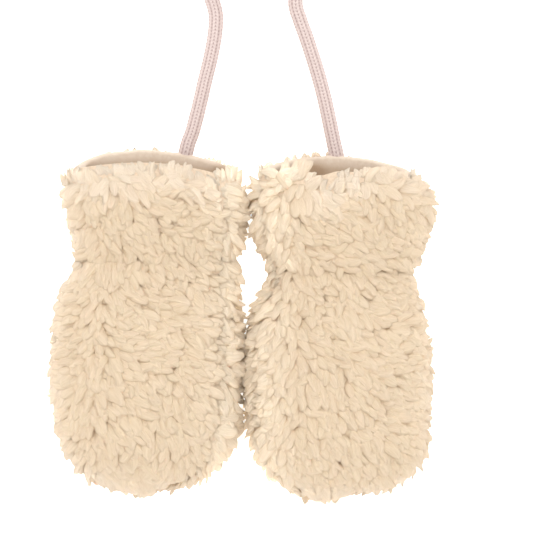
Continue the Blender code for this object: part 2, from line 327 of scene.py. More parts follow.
class Nodes:
    """A material's node tree, with short ways to add and join nodes."""

    def __init__(self, name: str) -> None:
        """Start a material of that name."""
        self.material = bpy.data.materials.new(name)
        self.material.use_nodes = True
        self.tree = self.material.node_tree
        self.shader = self.tree.nodes["Principled BSDF"]

    def add(self, kind: str, **settings: object) -> bpy.types.Node:
        """A new node with some of its properties set."""
        node = self.tree.nodes.new(kind)
        for key, value in settings.items():
            setattr(node, key, value)
        return node

    def join(self, source: Socket, target: Socket) -> None:
        """Link one socket to another."""
        self.tree.links.new(source, target)

    def attribute(self, name: str) -> bpy.types.Node:
        """Attribute node that reads a stored attribute of the mesh."""
        return self.add("ShaderNodeAttribute", attribute_name=name)

    def noise(self, vector: Socket, scale: float, detail: float = 2.0) -> bpy.types.Node:
        """Noise texture on a vector."""
        node = self.add("ShaderNodeTexNoise")
        node.inputs["Scale"].default_value = scale
        node.inputs["Detail"].default_value = detail
        self.join(vector, node.inputs["Vector"])
        return node

    def scaled(self, vector: Socket, factors: Tuple[float, float, float]) -> Socket:
        """A vector with each part multiplied by its own factor."""
        node = self.add("ShaderNodeVectorMath", operation="MULTIPLY")
        self.join(vector, node.inputs[0])
        node.inputs[1].default_value = factors
        return node.outputs["Vector"]

    def ramp(
        self, factor: Socket, stops: Sequence[Tuple[float, Sequence[float]]]
    ) -> Socket:
        """Colour ramp with the given stops, each a place and a colour."""
        node = self.add("ShaderNodeValToRGB")
        node.color_ramp.interpolation = "EASE"
        while len(node.color_ramp.elements) < len(stops):
            node.color_ramp.elements.new(0.5)
        for element, (place, colour) in zip(node.color_ramp.elements, stops):
            element.position = place
            element.color = (*colour, 1.0)
        self.join(factor, node.inputs["Fac"])
        return node.outputs["Color"]

    def mix(
        self,
        factor: object,
        first: object,
        second: object,
        blend: str = "MIX",
    ) -> Socket:
        """Colour mix.

        Args:
            factor: How much of the second colour is taken, a socket or a number.
            first: The first colour, a socket or a constant.
            second: The second colour, a socket or a constant.
            blend: The blend mode's name.

        Returns:
            The mixed colour.
        """
        node = self.add("ShaderNodeMix", data_type="RGBA", blend_type=blend)
        for socket, value in zip((node.inputs[0], node.inputs[6], node.inputs[7]), (factor, first, second)):
            if isinstance(value, Socket):
                self.join(value, socket)
            elif isinstance(value, float):
                socket.default_value = value
            else:
                socket.default_value = (*value, 1.0)
        return node.outputs[2]

    def maths(
        self, operation: str, first: object, second: object = 0.0, third: object = 0.0
    ) -> Socket:
        """Maths on one to three numbers, each a socket or a constant.

        Args:
            operation: The node's operation.
            first: The first number.
            second: The second number, where the operation has one.
            third: The third number, where the operation has one.

        Returns:
            The result.
        """
        node = self.add("ShaderNodeMath", operation=operation)
        for socket, value in zip(node.inputs, (first, second, third)):
            if isinstance(value, Socket):
                self.join(value, socket)
            else:
                socket.default_value = value
        return node.outputs[0]

    def eased_normal(self, weight: Socket, name: str) -> Socket:
        """The surface's normal drawn towards a stored one by a weight."""
        node = self.add("ShaderNodeMix", data_type="VECTOR")
        self.join(weight, node.inputs[0])
        self.join(self.add("ShaderNodeNewGeometry").outputs["Normal"], node.inputs[4])
        self.join(self.attribute(name).outputs["Vector"], node.inputs[5])
        return node.outputs[1]

    def bump(
        self, height: Socket, distance: float, strength: float = 1.0,
        normal: Optional[Socket] = None,
    ) -> None:
        """Bump the shader's normal, or another one, by a height.

        Args:
            height: The height's socket.
            distance: How high a height of 1 stands, in metres.
            strength: How much of the bump is shown, from 0 to 1.
            normal: The normal to start from, in place of the surface's own.
        """
        node = self.add("ShaderNodeBump")
        if normal:
            self.join(normal, node.inputs["Normal"])
        node.inputs["Distance"].default_value = distance
        node.inputs["Strength"].default_value = strength
        self.join(height, node.inputs["Height"])
        self.join(node.outputs["Normal"], self.shader.inputs["Normal"])

    def set(self, **values: float) -> None:
        """Set constant sockets of the shader; an underscore in a name stands for a space."""
        for key, value in values.items():
            self.shader.inputs[key.replace("_", " ")].default_value = value


@dataclass(frozen=True)
class PileFinish:
    """Curled wool-like pile, fine strands and a soft sheen; painted shade darkens its roots, it is paler at
    a cuff's rim, and painted light brightens its sides and the places where shade falls between and under
    the mittens.
    """

    # The roots are a little darker than the body and the tips paler: painted shade among the crowded locks.
    root: Colour = (0.675, 0.53, 0.375)
    body: Colour = (0.675, 0.54, 0.39)
    tip: Colour = (0.695, 0.565, 0.42)
    rosy: Colour = (0.695, 0.54, 0.40)
    golden: Colour = (0.665, 0.545, 0.375)
    # Paler at a cuff's rim, and painted edge light on the sides.
    pale: Colour = (0.69, 0.60, 0.50)
    # Painted light where shade falls between the mittens, under the fingertips and at the back's rim.
    painted_light: Colour = (0.85, 0.745, 0.60)

    def material(self) -> Material:
        """Build the material."""
        nodes = Nodes("curly_pile_locks")
        along = nodes.attribute("lock_along").outputs["Fac"]
        tint = nodes.attribute("lock_tint").outputs["Fac"]
        strand = nodes.attribute("lock_strand").outputs["Vector"]
        # Painted shade: darker towards each lock's root, paler towards its tip.
        painted_root_shade = nodes.ramp(along, [(0.0, self.root), (0.45, self.body), (1.0, self.tip)])
        warmth = nodes.ramp(tint, [(0.0, self.golden), (0.5, self.body), (1.0, self.rosy)])
        colour = nodes.mix(0.45, painted_root_shade, nodes.mix(0.5, painted_root_shade, warmth))
        loose_and_edge_light = nodes.attribute("lock_loose_and_edge_light").outputs["Fac"]
        painted_light = nodes.attribute("lock_painted_light").outputs["Fac"]
        # Paler at a cuff's rim, and painted edge light on the sides.
        colour = nodes.mix(nodes.maths("MULTIPLY", loose_and_edge_light, 0.8), colour, self.pale)
        # Painted light over the shade between the mittens, under the fingertips and at the back's rim.
        colour = nodes.mix(painted_light, colour, self.painted_light)
        hairs = nodes.noise(nodes.scaled(strand, (5.0, 5.0, 1.2)), 1.0, 3.0)
        shade = nodes.ramp(hairs.outputs["Fac"], [(0.32, (0.92, 0.90, 0.86)), (0.64, (1.0, 1.0, 1.0))])
        nodes.join(nodes.mix(1.0, colour, shade, "MULTIPLY"), nodes.shader.inputs["Base Color"])
        ease = nodes.maths("MULTIPLY", loose_and_edge_light, 0.85)
        nodes.bump(hairs.outputs["Fac"], 0.0005, 0.6, nodes.eased_normal(ease, "lock_ground"))
        nodes.set(Roughness=0.95, Sheen_Weight=0.05, Sheen_Roughness=0.6, Specular_IOR_Level=0.08)
        nodes.shader.subsurface_method = "BURLEY"
        spread = nodes.maths("MULTIPLY_ADD", loose_and_edge_light, 0.0020, 0.0018)
        spread = nodes.maths("MULTIPLY_ADD", painted_light, 0.004, spread)
        nodes.join(spread, nodes.shader.inputs["Subsurface Scale"])
        softness = nodes.maths("MULTIPLY_ADD", loose_and_edge_light, 0.7, 0.25)
        softness = nodes.maths("MULTIPLY_ADD", painted_light, 0.4, softness)
        softness.node.use_clamp = True
        nodes.join(softness, nodes.shader.inputs["Subsurface Weight"])
        nodes.shader.inputs["Subsurface Radius"].default_value = (1.0, 0.88, 0.76)
        return nodes.material


@dataclass(frozen=True)
class BackingFinish:
    """The knitted ground that the pile is rooted in."""

    colour: Colour = (0.76, 0.61, 0.46)
    pit: Colour = (0.70, 0.55, 0.40)

    def material(self) -> Material:
        """Build the material."""
        nodes = Nodes("pile_backing")
        place = nodes.add("ShaderNodeTexCoord").outputs["Object"]
        loops = nodes.noise(place, 1100.0, 2.0)
        colour = nodes.ramp(loops.outputs["Fac"], [(0.35, self.pit), (0.65, self.colour)])
        nodes.join(colour, nodes.shader.inputs["Base Color"])
        nodes.bump(loops.outputs["Fac"], 0.0003, 0.8)
        nodes.set(Roughness=0.95, Specular_IOR_Level=0.1)
        return nodes.material


@dataclass(frozen=True)
class JerseyFinish:
    """Smooth beige jersey with faint ribs that run into the mitten."""

    light: Colour = (0.76, 0.64, 0.52)
    dark: Colour = (0.71, 0.58, 0.46)
    # Painted shade, mixed in deeper in the mouth and round the fold's corner.
    painted_shade: Colour = (0.40, 0.275, 0.175)
    rib: float = 0.9

    def material(self) -> Material:
        """Build the material; the ribs and rows follow the cloth's own map."""
        nodes = Nodes("lining_jersey_knit")
        cloth = nodes.attribute("cloth").outputs["Vector"]
        split = nodes.add("ShaderNodeSeparateXYZ")
        nodes.join(cloth, split.inputs[0])
        turn = 2.0 * math.pi
        ribs = nodes.maths("SINE", nodes.maths("MULTIPLY", split.outputs[0], turn / self.rib))
        rows = nodes.maths("SINE", nodes.maths("MULTIPLY", split.outputs[1], turn / (self.rib * 0.8)))
        knit = nodes.maths("MULTIPLY_ADD", rows, 0.35, ribs)
        fuzz = nodes.noise(nodes.scaled(cloth, (0.5, 0.5, 0.5)), 1.0, 3.0)
        colour = nodes.ramp(fuzz.outputs["Fac"], [(0.3, self.dark), (0.7, self.light)])
        # Painted shade: darker deeper in the mouth and round the fold's corner, by the stored shade.
        colour = nodes.mix(nodes.attribute("shade").outputs["Fac"], colour, self.painted_shade)
        nodes.join(colour, nodes.shader.inputs["Base Color"])
        nodes.bump(knit, 0.00004, 0.4)
        nodes.set(Roughness=0.85, Sheen_Weight=0.25, Specular_IOR_Level=0.2)
        return nodes.material


@dataclass(frozen=True)
class KnitFinish:
    """Pale rose yarn, with painted shade in the holes between the stitches and a painted highlight along the
    middles of the legs.
    """

    yarn: Colour = (0.63, 0.50, 0.465)
    # Painted highlight on the crests of the legs.
    light: Colour = (0.76, 0.645, 0.605)
    # Painted shade in the holes between the stitches.
    hole_shade: Colour = (0.33, 0.225, 0.215)

    def material(self) -> Material:
        """Build the material.

        The knit attribute holds how far a place is from the middle of its wale, from 0 to 1, and the
        row's number there. Holes lie in the middle of a wale and, half a row on, between two wales.
        """
        nodes = Nodes("rose_yarn_knit")
        place = nodes.attribute("yarn").outputs["Vector"]
        split = nodes.add("ShaderNodeSeparateXYZ")
        nodes.join(nodes.attribute("knit").outputs["Vector"], split.inputs[0])
        off = split.outputs[0]
        turns = nodes.maths("MULTIPLY", split.outputs[1], 2.0 * math.pi)
        wave = nodes.maths("MULTIPLY", nodes.maths("COSINE", turns), 0.5)
        outer = nodes.maths("POWER", off, 3.0)
        inner = nodes.maths("POWER", nodes.maths("SUBTRACT", 1.0, off), 3.0)
        on = nodes.maths("MULTIPLY", inner, nodes.maths("MULTIPLY_ADD", wave, 0.7, 0.55))
        between = nodes.maths("MULTIPLY", outer, nodes.maths("MULTIPLY_ADD", wave, -0.4, 0.72))
        stitch = nodes.maths("SUBTRACT", 1.0, nodes.maths("ADD", on, between))
        # Painted shade in the holes, the yarn's own colour between, and a painted highlight on the crests of
        # the legs.
        colour = nodes.ramp(stitch, [(0.1, self.hole_shade), (0.62, self.yarn), (0.95, self.light)])
        fibres = nodes.noise(place, 1.0, 3.0)
        shade = nodes.ramp(fibres.outputs["Fac"], [(0.3, (0.88, 0.86, 0.86)), (0.7, (1.0, 1.0, 1.0))])
        nodes.join(nodes.mix(1.0, colour, shade, "MULTIPLY"), nodes.shader.inputs["Base Color"])
        nodes.bump(fibres.outputs["Fac"], 0.0002, 0.5)
        nodes.set(Roughness=0.85, Sheen_Weight=0.3, Specular_IOR_Level=0.15)
        return nodes.material


@dataclass(frozen=True)
class TableFinish:
    """The plain pale surface that the mittens lie on."""

    colour: Colour = (0.95, 0.95, 0.95)
    glow: float = 0.8

    def material(self) -> Material:
        """Build the material."""
        nodes = Nodes("pale_table")
        nodes.shader.inputs["Base Color"].default_value = (*self.colour, 1.0)
        nodes.set(Roughness=0.9, Specular_IOR_Level=0.0, Emission_Strength=self.glow)
        nodes.shader.inputs["Emission Color"].default_value = (1.0, 1.0, 1.0, 1.0)
        return nodes.material


# --------------------------------------------------------------------------------------------------
# The soft forms that the solids follow
# --------------------------------------------------------------------------------------------------


class SoftForm:
    """A soft tube, as a function of an angle round it and a share of the way along it."""

    def section(
        self, angle: Array, middle: Array, half: Array, top: Array,
        swell: Array, depth: Array,
    ) -> Tuple[Array, Array, Array, Array]:
        """Place on a superellipse about the waist, cut flat where it would pass under the low side.

        Args:
            angle: Radians from the right-hand side over the top.
            middle: Where the section's middle is.
            half: Half its width, on the outside.
            top: The height of its top, on the outside.
            swell: 1 where the tube is full, 0 at the point of the tip.
            depth: How far in from the outside.

        Returns:
            x, z, and the section's own coordinates across and up, from -1 to 1.
        """
        cosine = np.cos(angle)
        sine = np.sin(angle)
        across = np.sign(cosine) * np.abs(cosine) ** (2.0 / ROUNDNESS)
        up = np.sign(sine) * np.abs(sine) ** (2.0 / ROUNDNESS)
        low = SEAM_GAP / 2.0 + depth
        x = middle + (half - depth) * swell * across
        above = (top - depth - WAIST) * swell * up
        below = np.maximum((WAIST - low) * FLATTENING * swell * up, low - WAIST)
        return x, WAIST + np.where(up > 0.0, above, below), across, up

    def points(self, angle: Array, along: Array, depth: Array) -> Array:
        """Points in millimetres, with their three coordinates along the last axis."""
        raise NotImplementedError

    def axes(self, angle: Array, along: Array) -> Tuple[Array, Array, Array, Array]:
        """Directions on the outside, from small steps over the surface.

        Args:
            angle: Radians round the tube.
            along: Shares of the way along it.

        Returns:
            The outward normal, the direction towards +X, that towards the cuff, and the area that a
            unit step of both numbers covers.
        """
        step = 0.004
        zero = np.zeros_like(angle)
        ahead = np.clip(along + step, 0.0, 1.0)
        behind = np.clip(along - step, 0.0, 1.0)
        on = self.points(angle, ahead, zero) - self.points(angle, behind, zero)
        on = on / (ahead - behind)[..., None]
        back = self.points(angle - step, along, zero) - self.points(angle + step, along, zero)
        back = back / (2.0 * step)
        cross = np.cross(back, on)
        area = np.linalg.norm(cross, axis=-1)
        normal = unit(cross)
        towards_cuff = unit(on)
        return normal, unit(np.cross(towards_cuff, normal)), towards_cuff, area


@dataclass
class HandForm(SoftForm):
    """The hand, from the point of its fingertip (0) to the wrist (1)."""

    sections: Sequence[HandSection]
    tip: Tip
    tip_share: float = 0.3

    def points(self, angle: Array, along: Array, depth: Array) -> Array:
        """Round tip by the superellipse of its outline, then the smooth curve through the sections."""
        first = self.sections[0]
        wrist = self.sections[-1].y - SEAM_GAP / 2.0
        share = np.clip((along - self.tip_share) / (1.0 - self.tip_share), 0.0, 1.0)
        straight = first.y + (wrist - first.y) * share
        rows = flowing(np.array(self.sections), straight)
        turn = np.pi / 2.0 * (1.0 - np.clip(along / self.tip_share, 0.0, 1.0))
        reach = np.sin(turn) ** (2.0 / self.tip.exponent)
        swell = np.maximum(np.cos(turn), 0.0) ** (2.0 / self.tip.exponent)
        middle = (rows[..., 1] + rows[..., 2]) / 2.0
        middle = middle + (self.tip.x - middle) * reach**8 + self.tip.sway * reach * (1.0 - reach**4)
        half = (rows[..., 2] - rows[..., 1]) / 2.0
        x, z, _, _ = self.section(angle, middle, half, rows[..., 3], swell, depth)
        y = straight + (self.tip.y + depth - first.y) * reach
        return np.stack(np.broadcast_arrays(x, y, z), axis=-1)


@dataclass
class CuffForm(SoftForm):
    """The cuff, from the wrist (0) to its rim (1), and a little past it."""

    sections: Sequence[CuffSection]
    rim: Rim
    wrist: float
    lips: Sequence[Lip]

    def lip(self, x: Array) -> Array:
        """How far the front's pile stands past the rim."""
        return np.interp(x, [lip.x for lip in self.lips], [lip.past for lip in self.lips])

    def wall(self, along: Array) -> Array:
        """The pile cloth's thickness."""
        return flowing(np.array(self.sections), np.clip(along, 0.0, 1.0))[..., 4]

    def edge(self, x: Array, across: Array, up: Array) -> Array:
        """Where the rim lies, for a place across and up the section; the front dips with its lip."""
        rim = self.rim
        dip = np.minimum(self.lip(x) + 0.5, 0.0) * soft_step(up, 0.0, 0.5)
        return rim.corner + rim.bow * (1.0 - across**2) + rim.lean * across - rim.drop * up + dip

    def points(self, angle: Array, along: Array, depth: Array) -> Array:
        """The smooth curve through the sections, sheared so that it ends on the rim."""
        rows = flowing(np.array(self.sections), np.clip(along, 0.0, 1.0))
        middle = (rows[..., 1] + rows[..., 2]) / 2.0
        half = (rows[..., 2] - rows[..., 1]) / 2.0
        x, z, across, up = self.section(angle, middle, half, rows[..., 3], np.ones_like(half), depth)
        start = self.wrist + SEAM_GAP / 2.0
        y = start + along * (self.edge(x, across, up) - start)
        return np.stack(np.broadcast_arrays(x, y, z), axis=-1)


# --------------------------------------------------------------------------------------------------
# Pile cloth
# --------------------------------------------------------------------------------------------------


@dataclass(frozen=True)
class LockShape:
    """One lock of pile: a tapered, flattened tube that rises from the backing and bends to a point."""

    sides: int = 8
    length: float = 7.4
    half_width: float = 2.05
    flatness: float = 0.40
    ridge: float = 0.14
    stations: Tuple[float, ...] = (0.0, 0.28, 0.54, 0.76, 0.91)
    girths: Tuple[float, ...] = (0.82, 0.98, 1.0, 0.84, 0.50)

    def scaled(self, factor: float) -> "LockShape":
        """The same lock in another size."""
        return replace(self, length=self.length * factor, half_width=self.half_width * factor)


@dataclass
class Stand:
    """Where a panel's locks stand: one entry a lock in every array, in millimetres.

    A root is a lock's foot and outside is the place above it on the form, with the surface's directions
    there. pressed is the depth of the creases; near_wrist and steep run from 0 to 1, and side_share
    from -1 at the left edge to 1 at the right.
    """

    root: Array
    outside: Array
    normal: Array
    towards_x: Array
    towards_cuff: Array
    to_rim: Array
    to_edge: Array
    pressed: Array
    near_wrist: Array
    side_share: Array
    steep: Array


@dataclass
class Lie:
    """Which way a panel's locks lean and which side is their right; which lie low or stand at a rim."""

    lean: Array
    sideways: Array
    low: Array
    at_rim: Array


@dataclass
class Size:
    """Length and half width of a panel's locks, and which of them are thin wisps."""

    length: Array
    width: Array
    wisp: Array


@dataclass
class PileCloth:
    """The pile on one panel: where the locks stand, which way they point and the backing under them."""

    name: str
    form: SoftForm
    first_angle: float
    last_angle: float
    lift: float
    comb: Sequence[Comb]
    middle_x: float
    half_x: float
    wrist: float
    creases: Sequence[Crease]
    seed: int
    flat: Tuple[float, float]
    wall: float = PILE_WALL
    area_per_lock: float = 6.0
    nap: float = 2.3
    low_share: float = 0.35
    tangle: float = 15.0
    wrist_fill: float = 0.0
    inner_side: float = 0.0
    rim_comb: float = 90.0
    front: bool = True
    tries: int = 60000
    swirl: float = 29.0
    seam_depth: float = 3.2
    seam_width: float = 2.4
    wrist_reach: float = 7.0
    swirl_length: float = 17.0
    lock: LockShape = field(default_factory=LockShape)

    def cloth_depth(self, along: Array) -> Array:
        """How far in from the outside the cloth's inner face lies."""
        if isinstance(self.form, CuffForm):
            return self.form.wall(along)
        return np.full_like(along, self.wall)

    def ground_depth(self, angle: Array, along: Array) -> Array:
        """How far in from the outside the ground's outer face lies; it rises towards the wrist."""
        outside = self.form.points(angle, along, np.zeros(np.broadcast(angle, along).shape))
        return self.nap - self.wrist_fill * self.wrist_share(outside)

    def wrist_share(self, points: Array) -> Array:
        """How near the wrist each point is, up to 1 on it."""
        return np.exp(-(((points[..., 1] - self.wrist) / self.wrist_reach) ** 2))

    def roots(self) -> Tuple[Array, Array]:
        """Angles and shares of evenly spread places on the panel.

        They are the points of a golden-ratio sequence; each is kept with a chance in proportion to the
        surface's area there, and the third number of the sequence is the dice.
        """
        number = np.arange(1, self.tries + 1)[:, None]
        spread = (0.5 + self.seed * 0.137 + number * GOLDEN ** -np.array([1.0, 2.0, 3.0])) % 1.0
        angle = np.radians(self.first_angle + (self.last_angle - self.first_angle) * spread[:, 0])
        along = 0.004 + 0.996 * spread[:, 1]
        area = self.form.axes(angle, along)[3]
        keep = spread[:, 2] < area / np.percentile(area, 99.8)
        whole = np.radians(self.last_angle - self.first_angle) * area.mean()
        wanted = int(whole / self.area_per_lock)
        kept = np.flatnonzero(keep)[:wanted]
        return angle[kept], along[kept]

    def comb_direction(self, points: Array) -> Array:
        """Which way the locks point, in radians: the comb's table with smooth swirls on it."""
        rows = flowing(np.array(self.comb), points[:, 1])
        side = (points[:, 0] - self.middle_x) / self.half_x
        to_left = soft_step(-side, 0.25, 0.9)
        to_right = soft_step(side, 0.1, 0.9)
        degrees = rows[:, 2] + to_left * (rows[:, 1] - rows[:, 2]) + to_right * (rows[:, 3] - rows[:, 2])
        degrees = degrees + self.swirl * swell_noise(points, self.swirl_length, self.seed + 11)
        return np.radians(degrees)

    def trough(self, points: Array, seam_distance: Array) -> Array:
        """How far the pile is pressed in by its creases and along its seams.

        Args:
            points: Places on the outside.
            seam_distance: How far each is from the nearest side seam.

        Returns:
            A depth in millimetres for each place.
        """
        pressed = self.seam_depth * np.exp(-((seam_distance / self.seam_width) ** 2))
        for crease in self.creases:
            turn = math.radians(crease.direction)
            dx = points[:, 0] - crease.x
            dy = points[:, 1] - crease.y
            on = (dx * math.cos(turn) + dy * math.sin(turn)) / crease.half_length
            off = (dy * math.cos(turn) - dx * math.sin(turn)) / crease.half_width
            pressed = pressed + crease.depth * np.exp(-(on**2) - off**2)
        return pressed

    def turned(self, lean: Array, sideways: Array, degrees: Array) -> Array:
        """Directions turned in the surface by a number of degrees each."""
        turn = np.radians(degrees)[:, None]
        return np.cos(turn) * lean + np.sin(turn) * sideways

    def to_rim(self, points: Array, angle: Array) -> Array:
        """How far each place lies below the edge of the pile at a cuff's rim."""
        zero = np.zeros(len(angle))
        if not isinstance(self.form, CuffForm):
            return zero + NO_RIM
        rim = self.form.points(angle, zero + 1.0, zero)
        return rim[:, 1] + np.maximum(self.past_rim(points[:, 0]), -0.5) - points[:, 1]

    def past_rim(self, x: Array) -> Array:
        """How far the pile stands past the form's rim."""
        if self.front and isinstance(self.form, CuffForm):
            return self.form.lip(x)
        return np.full_like(x, BACK_PAST_RIM)

    def build(self, pile: Material, ground: Material) -> List[Piece]:
        sheet = self.build_backing(ground)
        locks = self.build_locks(pile)
        self.cut_area()
        return [sheet, locks]

    def cut_area(self) -> float:
        """Flat area of the panel's cut, in square metres, taken on the backing's middle."""
        angle, along = np.meshgrid(
            np.radians(np.linspace(self.first_angle, self.last_angle, 60)), np.linspace(0.002, 1.0, 60)
        )
        depth = (self.cloth_depth(along) + self.nap) / 2.0
        points = self.form.points(angle, along, depth)
        one = points[1:, 1:] - points[:-1, :-1]
        other = points[1:, :-1] - points[:-1, 1:]
        return float(np.linalg.norm(np.cross(one, other), axis=-1).sum() / 2.0 * MM * MM)

    def build_backing(self, ground: Material) -> Piece:
        """The knitted ground, a thin closed wall that also shows inside the mitten."""
        angle, along = np.meshgrid(
            np.radians(np.linspace(self.first_angle, self.last_angle, 49)),
            np.linspace(0.0, 1.0, 57) ** 1.15,
        )
        raised = np.array([0.0, 0.0, self.lift])
        outer = self.form.points(angle, along, self.ground_depth(angle, along)) + raised
        inner = self.form.points(angle, along, self.cloth_depth(along)) + raised
        name = f"{self.name}_cloth"
        mesh = wall_piece_mesh(name, outer, inner)
        piece = add_piece(name, mesh, ground)
        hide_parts(self.name)
        return piece

    def build_locks(self, pile: Material) -> Piece:
        """All the panel's locks, joined in one mesh.

        A lock's middle line is a cubic curve: it leaves its root along the normal and ends along the
        normal tilted towards the comb's direction. Rings of points stand round it, wide and flat.
        """
        stand = self.stand()
        dice = np.random.default_rng(self.seed)
        lie = self.lie(stand, dice)
        size = self.size(stand, lie, dice)
        handles = self.handles(stand, lie, size, dice)
        line, tangent = self.cubic(*handles)
        across, upward = self.rolled(lie.sideways, tangent, dice)
        ridge = 1.0 + self.lock.ridge * dice.normal(0.0, 1.0, (len(stand.root), 1, self.lock.sides))
        points, mark = self.rings(line, across, upward, size.width, ridge, handles[3])
        points[..., 2] = np.maximum(points[..., 2] + self.lift, LOWEST_TIP)
        return self.join(points, mark, self.traits(stand, dice), stand.normal, pile)

    def stand(self) -> Stand:
        """Where the locks stand, with what their place says of them."""
        angle, along = self.roots()
        root = self.form.points(angle, along, self.ground_depth(angle, along) + 0.5)
        to_rim = self.to_rim(root, angle)
        kept = to_rim > RIM_MARGIN
        angle, along, root, to_rim = angle[kept], along[kept], root[kept], to_rim[kept]
        normal, towards_x, towards_cuff, _ = self.form.axes(angle, along)
        outside = self.form.points(angle, along, np.zeros(len(angle)))
        past_first = angle - np.radians(self.first_angle)
        before_last = np.radians(self.last_angle) - angle
        arm = np.hypot(outside[:, 0] - self.middle_x, outside[:, 2] - WAIST)
        return Stand(
            root=root,
            outside=outside,
            normal=normal,
            towards_x=towards_x,
            towards_cuff=towards_cuff,
            to_rim=to_rim,
            to_edge=to_rim - np.maximum(self.past_rim(root[:, 0]) - RIM_MARGIN, 0.0),
            pressed=self.trough(outside, np.minimum(past_first, before_last) * arm),
            near_wrist=self.wrist_share(outside),
            side_share=(outside[:, 0] - self.middle_x) / self.half_x,
            steep=soft_step(1.0 - np.abs(normal[:, 2]), 0.35, 0.95),
        )

    def lie(self, stand: Stand, dice: np.random.Generator) -> Lie:
        """Which way the locks lean.

        Most follow the comb; the nearer a cuff's rim, the more of them stand up past it. Some lie low
        and askew, and at the fingertip some of those that point down jut out.

        Args:
            stand: Where the locks stand.
            dice: The panel's random numbers, drawn in a fixed order.

        Returns:
            The directions of lean and which locks are low or at a rim.
        """
        count = len(stand.root)
        heading = self.comb_direction(stand.outside) + np.radians(dice.normal(0.0, self.tangle, count))
        at_rim = dice.uniform(0.0, 1.0, count) < soft_step(10.5 - stand.to_edge, 0.0, 6.5)
        rim_heading = self.rim_comb - 25.0 * stand.side_share + dice.normal(0.0, 24.0, count)
        heading = np.where(at_rim, np.radians(rim_heading), heading)[:, None]
        lean = unit(np.cos(heading) * stand.towards_x + np.sin(heading) * stand.towards_cuff)
        low = dice.uniform(0.0, 1.0, count) < self.low_share
        askew = dice.uniform(-50.0, 50.0, count) * low
        lean = self.turned(lean, np.cross(stand.normal, lean), askew)
        dive = soft_step(-lean[:, 2], 0.3, 0.9) * stand.steep * (stand.root[:, 2] > 7.0)
        dive = dive * (1.0 - stand.near_wrist) * (0.15 + 0.85 * soft_step(-stand.normal[:, 1], 0.3, 0.8))
        jut = np.maximum(dive * dice.uniform(-0.2, 0.6, count), 0.0)
        lean = unit(lean + jut[:, None] * stand.normal)
        return Lie(lean, np.cross(stand.normal, lean), low, at_rim)

    def size(self, stand: Stand, lie: Lie, dice: np.random.Generator) -> Size:
        """How long and how wide the locks are; at a rim their length is held near the pile's edge.

        Args:
            stand: Where the locks stand.
            lie: Which way they lean.
            dice: The panel's random numbers, drawn in a fixed order.

        Returns:
            Lengths and half widths in millimetres, and which locks are thin wisps.
        """
        count = len(stand.root)
        length = self.lock.length * np.exp(
            dice.normal(0.0, 0.15, count) + 0.16 * swell_noise(stand.outside, 22.0, self.seed + 5)
        )
        length = length * (1.0 - 0.25 * stand.steep) * (1.0 - 0.3 * stand.steep * stand.near_wrist)
        length = length * np.where(lie.low, 0.8, 1.0) * (1.0 - 0.5 * soft_step(stand.pressed, 1.2, 2.8))
        length = length * (1.0 - 0.35 * soft_step(-stand.normal[:, 1], 0.75, 0.97))
        fringe = np.clip(stand.to_rim * dice.uniform(0.6, 1.08, count), 2.6, 9.0)
        reaching = 0.8 * length + 0.5 * np.maximum(stand.to_rim - 4.0, 0.0)
        length = np.where(lie.at_rim, np.minimum(fringe, reaching), length)
        limit = stand.to_rim * np.where(lie.at_rim, 1.08, 1.0) / np.maximum(lie.lean[:, 1], 0.02)
        length = np.minimum(length, np.maximum(limit, 2.4))
        leaning_out = soft_step(1.0 - np.abs(stand.normal[:, 2]), 0.15, 0.6)
        wisp = dice.uniform(0.0, 1.0, count) < 0.4 * leaning_out
        width = self.lock.half_width * (length / self.lock.length) ** np.where(lie.at_rim, 0.8, 0.5)
        width = width * np.where(wisp, 0.68, 1.0) * (1.0 - 0.12 * soft_step(9.0 - stand.to_rim, 0.0, 6.0))
        width = width * np.exp(dice.normal(0.0, 0.1, count)) * (1.0 - 0.12 * stand.near_wrist)
        width = width * (1.0 - 0.3 * soft_step(stand.pressed, 0.3, 1.1))
        return Size(length, width, wisp)

    def handles(
        self, stand: Stand, lie: Lie, size: Size, dice: np.random.Generator
    ) -> Tuple[Array, Array, Array, Array]:
        """The four handles of each lock's middle line, from its root to its tip.

        Args:
            stand: Where the locks stand.
            lie: Which way they lean.
            size: How long and wide they are.
            dice: The panel's random numbers, drawn in a fixed order.

        Returns:
            Four arrays of points, locks by three.
        """
        count = len(stand.root)
        reach = self.nap + 0.5 - stand.pressed + dice.normal(0.0, 0.22, count) - np.where(lie.low, 0.9, 0.0)
        reach = reach - np.where(lie.at_rim, 0.4, 0.0) - 0.5 * stand.near_wrist
        reach = reach - 0.5 * soft_step(10.0 - stand.to_rim, 0.0, 8.0)
        crown = np.maximum(reach - size.width * self.lock.flatness, 0.6)[:, None] * stand.normal
        ahead = size.length[:, None] * lie.lean
        curl = (dice.normal(0.0, 0.19, count) * size.length)[:, None] * lie.sideways
        bend = (dice.normal(0.0, 0.17, count) * size.length)[:, None] * lie.sideways
        outwards = self.outwards(stand, lie, size, dice)[:, None] * stand.normal
        second = stand.root + 0.55 * crown + 0.10 * ahead
        third = stand.root + 1.12 * crown + 0.55 * ahead + bend
        end = stand.root + crown + outwards + 0.98 * ahead + curl
        return stand.root, second, third, end

